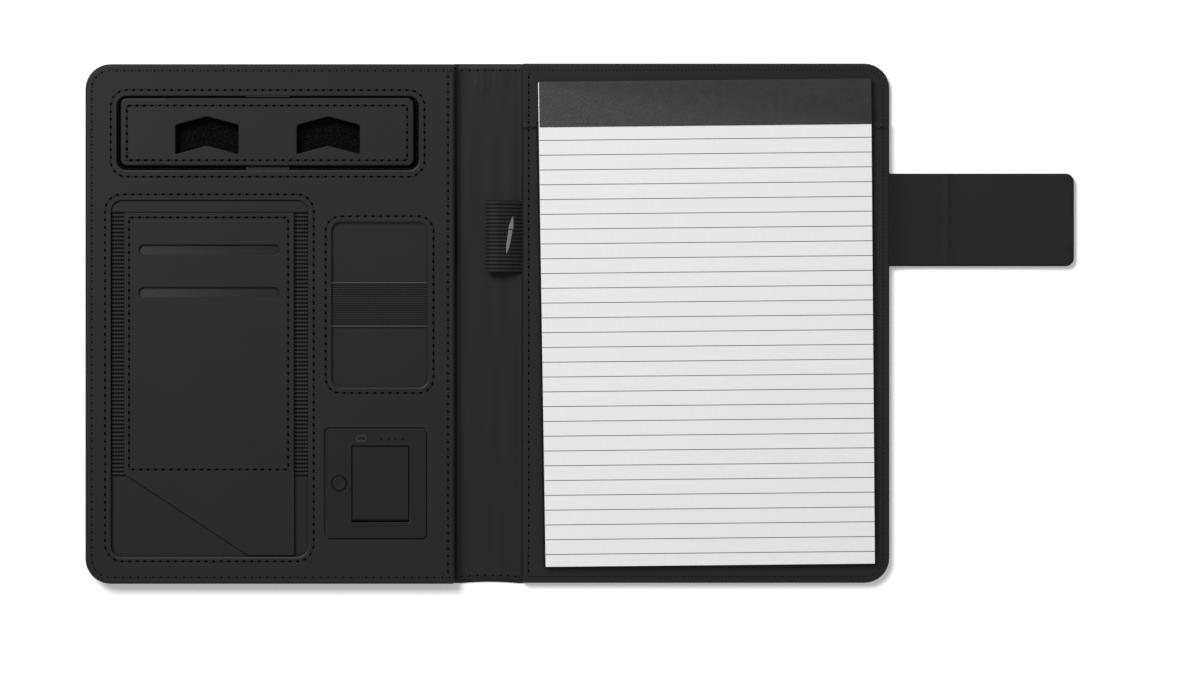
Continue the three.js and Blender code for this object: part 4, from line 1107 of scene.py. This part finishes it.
# The lower left corner is cut off at a slant
CUT_WIDTH, CUT_HEIGHT = 54.0, 35.8
POCKET_OUTLINE = (
    (POCKET.left + CUT_WIDTH, POCKET.bottom),
    (POCKET.right, POCKET.bottom),
    (POCKET.right, POCKET.top),
    (POCKET.left, POCKET.top),
    (POCKET.left, PHONE.bottom + CUT_HEIGHT),
)
POCKET_SEAM_FOOT = 49.4


class NOTEBOOK_OT_phone_pocket(NotebookOperator, bpy.types.Operator):
    """Phone pocket with two card slots, held by ribbed elastic gussets"""

    bl_idname = "notebook.phone_pocket"
    bl_label = "Phone pocket"

    def execute(self, context):
        low, high = node_heights("pocket_backing")
        bm = plate(grow(PHONE, 0.2), low, high + 0.25, 0.1, 0.1)
        head = plate(grow(PHONE, 0.2), high, LEFT_TOP - 1.2, 0.1, 0.3)
        trim(head, -UP, -(POCKET.top + 0.2))
        add_mesh(bm, head)
        backing = put("phone_window_leather", bm, "leather_lining", body="left_cover")
        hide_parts("pocket_backing")

        low = node_heights("card_liner")[0]
        bm = plate(node_area("card_liner"), low, low + 0.5, 0.1, 0.1)
        for slot in CARD_SLOTS:
            cut(bm, UP, [slot.bottom - 0.7, slot.bottom - 0.6, slot.top + 0.6])
        for v in bm.verts:
            for slot in CARD_SLOTS:
                if v.co.z > low + 0.4 and slot.bottom - 0.65 < v.co.y < slot.top + 0.6:
                    v.co.z += 0.07 * (slot.top + 0.6 - v.co.y)
        liner = put("card_liner_leather", bm, "leather_lining", body="phone_pocket")
        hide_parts("card_liner")

        low, high = node_heights("pocket_front")
        shape = polygon_shape(lambda by: POCKET_OUTLINE, 0.5)
        bm = plate(shape, low, high, 0.15, 0.4, [(slot, 0.3) for slot in CARD_SLOTS])
        front = put("pocket_front_leather", bm, "leather_lining", body="phone_pocket")
        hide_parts("pocket_front")
        row = area(POCKET.left + 2.3, POCKET_SEAM_FOOT, POCKET.right - 2.7, POCKET.top - 2.2)
        seam("pocket_seam", "phone_pocket", [(ring_path(row), high + 0.02)])

        for node, start, end, inner in (
            ("gusset_left", PHONE.left - 0.5, POCKET.left + 0.5, PHONE.left),
            ("gusset_right", PHONE.right + 0.5, POCKET.right - 0.5, POCKET.right),
        ):
            strip = ribbed_sheet(
                f"{node}_elastic", node_area(node), node_heights(node)[1] + 0.15, 0.5,
                mm("gusset_rib"), 0.4, 24, 6, "elastic", tuck=(inner, 0.9),
            )
            bend(strip, "left_cover", "phone_pocket", start, end)
            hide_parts(node)
        return {"FINISHED"}


PIPING_RADIUS = 0.38


class NOTEBOOK_OT_band_window(NotebookOperator, bpy.types.Operator):
    """Band window: leather backing with a ribbed elastic band across it"""

    bl_idname = "notebook.band_window"
    bl_label = "Band window"

    def execute(self, context):
        low, high = node_heights("band_window_backing")
        bm = plate(grow(BAND, 0.2), low, high + 0.35, 0.1, 0.1)
        backing = put("band_window_leather", bm, "leather_lining", body="left_cover")
        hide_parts("band_window_backing")

        low, high = node_heights("elastic_band")
        strip = moved(node_area("elastic_band"), bottom=0.75, top=0.1)
        band = ribbed_sheet(
            "elastic_band_weave", moved(strip, bottom=0.55, top=-0.55), high, high - low - 0.1,
            mm("band_rib"), 0.22, 40, 4, "elastic_band",
        )
        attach(band, "left_cover")
        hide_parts("elastic_band")
        bm = bmesh.new()
        for y in (strip.bottom + 0.1, strip.top - 0.1):
            bmesh.ops.create_cone(
                bm, cap_ends=True, segments=12, radius1=PIPING_RADIUS, radius2=PIPING_RADIUS,
                depth=strip.right - strip.left,
                matrix=Matrix.Translation((middle_of(strip)[0], y, high + 0.12))
                @ Matrix.Rotation(math.pi / 2, 4, "Y"),
            )
        put("elastic_band_piping", bm, "piping", slot="elastic", body="left_cover")
        return {"FINISHED"}


def block_shell():
    """The port block's cover with its long outer edges rounded."""
    bm = bmesh.new()
    bm.from_mesh(frame["nodes"]["port_block_cover"].data)
    bmesh.ops.remove_doubles(bm, verts=bm.verts, dist=1e-6)
    bmesh.ops.dissolve_limit(
        bm, angle_limit=math.radians(1), verts=bm.verts[:], edges=bm.edges[:]
    )
    edges = [
        e for e in bm.edges
        if len(e.link_faces) == 2 and e.is_convex and e.calc_length() > 4.0 * MM
        and e.calc_face_angle(0.0) > math.radians(50)
    ]
    bmesh.ops.bevel(
        bm, geom=edges, offset=0.3 * MM, offset_type="OFFSET", segments=3,
        profile=0.5, affect="EDGES", material=-1, clamp_overlap=True,
    )
    return bm


BUTTON_RADIUS, BUTTON_SEGMENTS = 3.0, 40
LAMP_RADIUS, LAMP_PITCH, LAMP_INSET = 0.55, 3.03, 10.9
MARK = area(117.5, 61.6, 122.0, 64.2, 0.9)
MARK_STEPS = 5


class NOTEBOOK_OT_power_module(NotebookOperator, bpy.types.Operator):
    """Power module: satin plate, button, lights and the flip-up port block"""

    bl_idname = "notebook.power_module"
    bl_label = "Power module"

    def execute(self, context):
        top = node_heights("powerbank_bezel")[1]
        x, y = middle_of(node_area("power_button"))
        lamp_y = middle_of(node_area("led_light_pipe"))[1]
        openings = [
            (grow(BLOCK, 0.36), 0.3),
            (round_shape(x, y, BUTTON_RADIUS + 0.55, BUTTON_SEGMENTS), 0.25),
        ]
        for k in range(4):
            lamp_x = MODULE.right - LAMP_INSET - LAMP_PITCH * k
            openings.append((round_shape(lamp_x, lamp_y, LAMP_RADIUS, 12), 0.1))
        bm = plate(grow(MODULE, -0.5), LEFT_RIM, top, 0.1, 0.4, openings)
        bezel = put("module_plate", bm, "plastic", body="left_cover")
        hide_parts("powerbank_bezel")

        low, high = node_heights("power_button")
        foot, roll = low + 0.5, 0.4
        bm = bmesh.new()
        face = round_face(bm, x, y, BUTTON_RADIUS, foot, BUTTON_SEGMENTS)
        up = [(0.0, high - foot - roll)] + arc_up(roll) + [(0.5, -0.03), (0.9, -0.05)]
        shape_inward(bm, face, up, keep=True)
        round_face(bm, x, y, BUTTON_RADIUS, foot, BUTTON_SEGMENTS)
        weld(bm)
        cap = put("button_cap", bm, "plastic", body="power_button")
        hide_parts("power_button")
        shell = put("port_block_shell", block_shell(), "plastic", body="port_block", place=Matrix())
        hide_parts("port_block_cover")

        def mark(inset):
            return lambda bm, z, by: rounded_face(bm, grow(MARK, by - inset), z, MARK_STEPS)

        bm = plate(mark(0.0), top - 0.1, top + 0.03, 0.01, 0.01, [(mark(0.3), 0.01)])
        put("module_outline_mark", bm, "engraving", slot="print", body="left_cover")
        return {"FINISHED"}


LOOP_STEPS, LOOP_START, LOOP_TURN = 44, -100, -205
TAIL_STEPS = 12
RIB_DEPTH = 0.28
PEN_TOP, PEN_BOTTOM = Vector((185.4, 159.2)), Vector((182.7, 143.1))


def loop_section():
    """Outline of the pen loop's section in x and z: a drop that tucks under the cover."""
    low, high = node_heights("pen_loop")
    radius = (high - low) / 2
    centre_x, centre_z = node_area("pen_loop").left + radius, low + radius
    points = []
    for k in range(LOOP_STEPS + 1):
        angle = math.radians(LOOP_START + LOOP_TURN * k / LOOP_STEPS)
        points.append((centre_x + radius * math.cos(angle), centre_z + radius * math.sin(angle)))
    end_x, end_z = RIGHT.left + 0.3, low + 0.95
    last_x, last_z = points[-1]
    for t in (k / TAIL_STEPS for k in range(1, TAIL_STEPS + 1)):
        z = last_z + (end_z - last_z) * t + 0.55 * math.sin(math.pi * t)
        points.append((last_x + (end_x - last_x) * t, z))
    return [(end_x, low + 0.12), (centre_x + 4.0, low + 0.08)] + points


def bend_loop(piece):
    bend(piece, "spine", "right_cover", node_area("pen_loop").left + 8.0, RIGHT.left)


class NOTEBOOK_OT_pen_loop(NotebookOperator, bpy.types.Operator):
    """Ribbed elastic pen loop that tucks in under the right cover, with a plain pen mark"""

    bl_idname = "notebook.pen_loop"
    bl_label = "Pen loop"

    def execute(self, context):
        node = node_area("pen_loop")
        low, high = node_heights("pen_loop")
        section = loop_section()
        ribs = round((node.top - node.bottom) / mm("loop_rib"))
        bm = bmesh.new()
        grid(bm, area(-0.5, -0.5, 0.5, 0.5), 0, len(section) - 1, ribs * 4)
        middle = Vector((node.left + 4.2, middle_of(node)[1], (low + high) / 2))
        for v in bm.verts:
            x, z = section[round((v.co.x + 0.5) * (len(section) - 1))]
            share = v.co.y + 0.5
            rib = 0.5 - 0.5 * math.cos(math.tau * share * ribs)
            point = Vector((x, middle.y, z))
            point -= (point - middle).normalized() * RIB_DEPTH * (1 - rib)
            v.co = (point.x, node.bottom + share * (node.top - node.bottom), point.z)
        bmesh.ops.recalc_face_normals(bm, faces=bm.faces)
        if sum((f.calc_center_median() - middle).dot(f.normal) for f in bm.faces) < 0:
            bmesh.ops.reverse_faces(bm, faces=bm.faces)
        loop = put("pen_loop_elastic", bm, "elastic_loop", slot="elastic", thickness=0.8)
        bend_loop(loop)
        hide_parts("pen_loop")
        self.pen_mark(section[2 + LOOP_STEPS // 2:])
        return {"FINISHED"}

    def pen_mark(self, slope):
        """A plain pen outline that lies on the loop's slope."""
        whole = (PEN_BOTTOM - PEN_TOP).length
        along = (PEN_BOTTOM - PEN_TOP).normalized()
        side = Vector((-along.y, along.x))
        cap = [(0.0, 0.15), (1.8, 0.5), (4.2, 0.95), (5.6, 1.05)]
        shaft = [(6.0, 0.85), (whole - 4.0, 0.75), (whole - 1.2, 0.4), (whole, 0.12)]

        def height(x):
            for (x0, z0), (x1, z1) in zip(slope, slope[1:]):
                if x0 <= x <= x1:
                    return z0 + (z1 - z0) * (x - x0) / (x1 - x0)
            return slope[-1][1]

        bm = bmesh.new()
        for half in (cap, shaft):
            outline = [PEN_TOP + along * d + side * w for d, w in half]
            outline += [PEN_TOP + along * d - side * w for d, w in reversed(half)]
            add_mesh(bm, plate(polygon_shape(lambda by: outline), 0.0, 0.18, 0.02, 0.05))
        cut(bm, ACROSS, steps_between(181.5, 186.5, 0.5))
        for v in bm.verts:
            v.co.z += height(v.co.x) - 0.1
        bend_loop(put("pen_mark", bm, "mark", slot="print"))


LEAVES = 8
STACK = 3.0
STEP_FALL = 1.4
RULE_GAP = 0.05


def pad_drop(y, level):
    """How far the sheets step down past the pocket's mouth: the lowest one from the
    mouth on (level 0), the topmost one from the binding's edge on (level 1)."""
    past_mouth = MOUTH - COVER_HEIGHT / 2 + 0.9
    start = past_mouth + (BINDING_EDGE - past_mouth) * min(1.0, max(0.0, level))
    return STEP_FALL * min(1.0, max(0.0, (y - start) / BINDING_HEIGHT))


def pad_piece(name, bm, material, body=None):
    for v in bm.verts:
        v.co = fanned(v.co)
    return put(name, bm, material, body=body)


def turn_sheet(piece):
    bend(piece, "notepad", "top_sheet", BINDING_EDGE - 0.4, BINDING_EDGE - 15.0)


def ruled_lines(z):
    """Thin printed lines across a page, from its top down."""
    bm = bmesh.new()
    half, thick = PAD_WIDTH / 2 - RULE_GAP, mm("rule_width") / 2
    y = BINDING_EDGE - mm("first_rule")
    while y > -PAD_HEIGHT / 2 + 1.0:
        line = area(-half, y - thick, half, y + thick)
        add_mesh(bm, plate(line, z - 0.03, z + 0.02, 0.005, 0.005))
        y -= mm("rule_pitch")
    return bm


class NOTEBOOK_OT_note_pad(NotebookOperator, bpy.types.Operator):
    """Ruled note pad: a stack of sheets, the binding strip and the top sheet"""

    bl_idname = "notebook.note_pad"
    bl_label = "Note pad"

    def execute(self, context):
        high = node_heights("pad_sheets")[1]
        base = high - STACK
        half, end = PAD_WIDTH / 2, PAD_HEIGHT / 2
        bm = bmesh.new()
        for k in range(LEAVES):
            shift = 0.07 * math.sin(2.1 * k + 0.5)
            z = base + STACK * k / LEAVES
            page = area(-half + shift, -end + 0.1 * math.cos(1.7 * k), half + shift * 0.6, end)
            leaf = plate(page, z, z + STACK / LEAVES - 0.02, 0.05, 0.05)
            cut(leaf, UP, steps_between(86.0, 104.0, 1.5))
            add_mesh(bm, leaf)
        for v in bm.verts:
            v.co.z -= pad_drop(v.co.y, (v.co.z - base) / STACK)
        stack = pad_piece("pad_leaves", bm, "paper", "notepad")
        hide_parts("pad_sheets")
        pad_piece("pad_leaves_lines", ruled_lines(high), "print", "notepad")

        low, high = node_heights("top_sheet")
        bm = plate(area(-half, -end, half, BINDING_EDGE - 0.3), low, high, 0.05, 0.05)
        cut(bm, UP, steps_between(BINDING_EDGE - 16, BINDING_EDGE - 0.8, 0.8))
        sheet = pad_piece("top_page", bm, "paper")
        turn_sheet(sheet)
        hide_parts("top_sheet")
        turn_sheet(pad_piece("top_page_lines", ruled_lines(high), "print"))

        back, board_top = node_heights("pad_backing")
        board = area(-half + 0.3, -end + 0.2, half - 0.3, end - 0.05)
        bm = plate(board, back, board_top, 0.1, 0.1)
        cardboard = pad_piece("pad_backing_board", bm, "board", "notepad")
        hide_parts("pad_backing")

        edge = end + 0.3
        wrap = area(-half + 0.28, BINDING_EDGE, half + 0.1, edge)
        bm = plate(wrap, high + 0.02, high + 0.15, 0.03, 0.08)
        add_mesh(bm, plate(wrap._replace(bottom=edge - 0.28), back, high + 0.12, 0.1, 0.1))
        cut(bm, UP, steps_between(BINDING_EDGE + 0.5, edge - 1.0, 1.0))
        for v in bm.verts:
            v.co.z -= pad_drop(v.co.y, 1.0) * (v.co.z - back) / (high - back)
        binding = pad_piece("pad_binding_paper", bm, "binding", "notepad")
        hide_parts("pad_binding")
        return {"FINISHED"}


STRAP_SEAM = 12.0
STRAP_THICKNESS = 2.4
STRAP_CORNER = 3.6
STRAP_TOP = 3.5


class NOTEBOOK_OT_strap(NotebookOperator, bpy.types.Operator):
    """Closing strap, creased where it turns over the covers' edge"""

    bl_idname = "notebook.strap"
    bl_label = "Strap"

    def execute(self, context):
        web = node_area("strap_web")
        tip = node_area("strap_tip_outer").right
        base_x, fold_x = joint_x("strap_base_fold"), joint_x("strap_tip_fold")
        split = base_x + STRAP_SEAM

        def lift(x):
            ridge = 0.1 * math.exp(-(((x - fold_x + 0.3) / 1.3) ** 2))
            slope = 1.3 * math.exp(-max(0.0, x - RIGHT.right) / 4.5)
            return STRAP_TOP + 0.01 * max(0.0, x - fold_x) + ridge + slope

        for name, start, end, fold, ease, a, b, nodes in (
            ("strap_base_leather", RIGHT.right - 0.7, split, base_x, 1.6,
             "right_cover", "strap_web", ("strap_web", "strap_anchor")),
            ("strap_tip_leather", split, tip, fold_x, 2.2,
             "strap_web", "strap_tip", ("strap_tip_outer", "strap_tip_inner")),
        ):
            whole = area(RIGHT.right - 3, web.bottom, tip, web.top + 0.5, 0.0, STRAP_CORNER)
            bm = plate(whole, -STRAP_THICKNESS, 0.0, 0.7, 0.9)
            trim(bm, -ACROSS, -start)
            if end < tip:
                trim(bm, ACROSS, end)
            cut(bm, ACROSS, steps_between(fold - 4.0, fold + 4.0, 0.5))
            cut(bm, ACROSS, steps_between(start + 1, end - 4, 1.5))
            cut(bm, UP, steps_between(web.bottom + 1.2, web.top - 0.7, 4.0))
            for v in bm.verts:
                v.co.z += lift(v.co.x)
            piece = put(name, bm, "leather_outer")
            bend_at(piece, a, b, fold, ease)
            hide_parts(*nodes)
        return {"FINISHED"}


# The port block's hinge pin is painted near-black, standing in for the shade in the block's gap, so it throws no
# glint
NODE_FINISHES = {"port_hinge_pin": "dark_steel"}


class NOTEBOOK_OT_inner_parts(NotebookOperator, bpy.types.Operator):
    """Finishes of the boards, foam, battery, circuit and fittings that stay as they are"""

    bl_idname = "notebook.inner_parts"
    bl_label = "Inner parts"

    def execute(self, context):
        for part in frame["record"]["subparts"]:
            node = part["node"]
            mesh = frame["nodes"][node].data
            mesh.materials.clear()
            mesh.materials.append(MATERIALS[NODE_FINISHES.get(node, part["material_slot"])])
        return {"FINISHED"}


CAMERA_PLACE = (0.00854, -0.00868, 2.2)
SENSOR_WIDTH, LENS = 36.0, 151.6
LAMP_PLACE = (-0.88, 1.05, 2.2)
LAMP_SIZE, LAMP_POWER = 1.1, 59.0
FLOOR_HALF, FLOOR_DEPTH, FLOOR_GLOW = 3.0, 0.00002, 0.31
SKY_ON_OBJECT, SKY_SHOWN = 0.22, 1.0


def linked(name, data):
    item = bpy.data.objects.new(name, data)
    bpy.context.scene.collection.objects.link(item)
    return item


def shown_rays(nodes, links):
    """One for rays from the camera, from gloss and through glass, none for the rest."""
    ray = nodes.new("ShaderNodeLightPath")
    total = ray.outputs["Is Camera Ray"]
    for name in ("Is Glossy Ray", "Is Transmission Ray"):
        node = nodes.new("ShaderNodeMath")
        node.operation = "MAXIMUM"
        links.new(total, node.inputs[0])
        links.new(ray.outputs[name], node.inputs[1])
        total = node.outputs["Value"]
    return total


class NOTEBOOK_OT_stage(NotebookOperator, bpy.types.Operator):
    """Pale floor, soft light from the upper left and the camera above"""

    bl_idname = "notebook.stage"
    bl_label = "Stage"

    def execute(self, context):
        scene = context.scene
        scene.view_settings.view_transform = "Standard"
        self.floor()
        scene.world = self.world()
        self.lamp()
        camera = linked("camera", bpy.data.cameras.new("camera"))
        camera.data.sensor_width = SENSOR_WIDTH
        camera.data.lens = LENS
        camera.location = CAMERA_PLACE
        scene.camera = camera
        return {"FINISHED"}

    def floor(self):
        bm = bmesh.new()
        grid(bm, area(-FLOOR_HALF, -FLOOR_HALF, FLOOR_HALF, FLOOR_HALF), 0)
        mesh = bpy.data.meshes.new("floor")
        bm.to_mesh(mesh)
        bm.free()
        piece = linked("floor", mesh)
        finish = Finish("white_floor", 0.9, specular=0.1)
        finish.coloured(finish.noise(300.0, 2.0), (0.9, 0.9, 0.9, 1.0), (0.91, 0.91, 0.91, 1.0))
        glow = finish.made("Math")
        glow.operation = "MULTIPLY"
        glow.inputs[1].default_value = FLOOR_GLOW
        shown, total = finish.made("Emission"), finish.made("AddShader")
        for source, target in (
            (shown_rays(finish.nodes, finish.links), glow.inputs[0]),
            (glow.outputs["Value"], shown.inputs["Strength"]),
            (finish.shader.outputs["BSDF"], total.inputs[0]),
            (shown.outputs["Emission"], total.inputs[1]),
            (total.outputs["Shader"], finish.nodes["Material Output"].inputs["Surface"]),
        ):
            finish.links.new(source, target)
        mesh.materials.append(finish.material)
        piece.location.z = -FLOOR_DEPTH

    def world(self):
        world = bpy.data.worlds.new("studio")
        world.use_nodes = True
        nodes, links = world.node_tree.nodes, world.node_tree.links
        background = nodes["Background"]
        background.inputs["Color"].default_value = (1.0, 1.0, 1.0, 1.0)
        strength = nodes.new("ShaderNodeMapRange")
        strength.inputs["To Min"].default_value = SKY_ON_OBJECT
        strength.inputs["To Max"].default_value = SKY_SHOWN
        links.new(shown_rays(nodes, links), strength.inputs["Value"])
        links.new(strength.outputs["Result"], background.inputs["Strength"])
        return world

    def lamp(self):
        data = bpy.data.lights.new("softbox", "AREA")
        data.shape = "DISK"
        data.size = LAMP_SIZE
        data.energy = LAMP_POWER
        lamp = linked("softbox", data)
        lamp.location = LAMP_PLACE
        lamp.rotation_euler = (-lamp.location).to_track_quat("-Z", "Y").to_euler()


class NOTEBOOK_PT_sidebar(bpy.types.Panel):
    """Lists the pieces of the notebook"""

    bl_label = "Power Bank Notebook"
    bl_idname = "NOTEBOOK_PT_sidebar"
    bl_space_type = "VIEW_3D"
    bl_region_type = "UI"
    bl_category = "Notebook"

    def draw(self, context):
        column = self.layout.column()
        for operator in OPERATORS:
            column.operator(operator.bl_idname)
        for group in (context.scene.notebook_sizes, context.scene.notebook_colours):
            box = self.layout.box()
            for name in group.bl_rna.properties.keys():
                if name not in ("rna_type", "name"):
                    box.prop(group, name)


OPERATORS = (
    NOTEBOOK_OT_stage,
    NOTEBOOK_OT_outer_leather,
    NOTEBOOK_OT_spine,
    NOTEBOOK_OT_left_lining,
    NOTEBOOK_OT_right_lining,
    NOTEBOOK_OT_seams,
    NOTEBOOK_OT_cable_bay,
    NOTEBOOK_OT_phone_pocket,
    NOTEBOOK_OT_band_window,
    NOTEBOOK_OT_power_module,
    NOTEBOOK_OT_pen_loop,
    NOTEBOOK_OT_note_pad,
    NOTEBOOK_OT_strap,
    NOTEBOOK_OT_inner_parts,
)
CLASSES = (NotebookSizes, NotebookColours) + OPERATORS + (NOTEBOOK_PT_sidebar,)


def register():
    for item in CLASSES:
        bpy.utils.register_class(item)
    bpy.types.Scene.notebook_sizes = bpy.props.PointerProperty(type=NotebookSizes)
    bpy.types.Scene.notebook_colours = bpy.props.PointerProperty(type=NotebookColours)


def unregister():
    del bpy.types.Scene.notebook_colours
    del bpy.types.Scene.notebook_sizes
    for item in reversed(CLASSES):
        bpy.utils.unregister_class(item)


def main():
    register()
    make_materials()
    for operator in OPERATORS:
        getattr(bpy.ops.notebook, operator.bl_idname.partition(".")[2])()


if __name__ == "__main__":
    main()
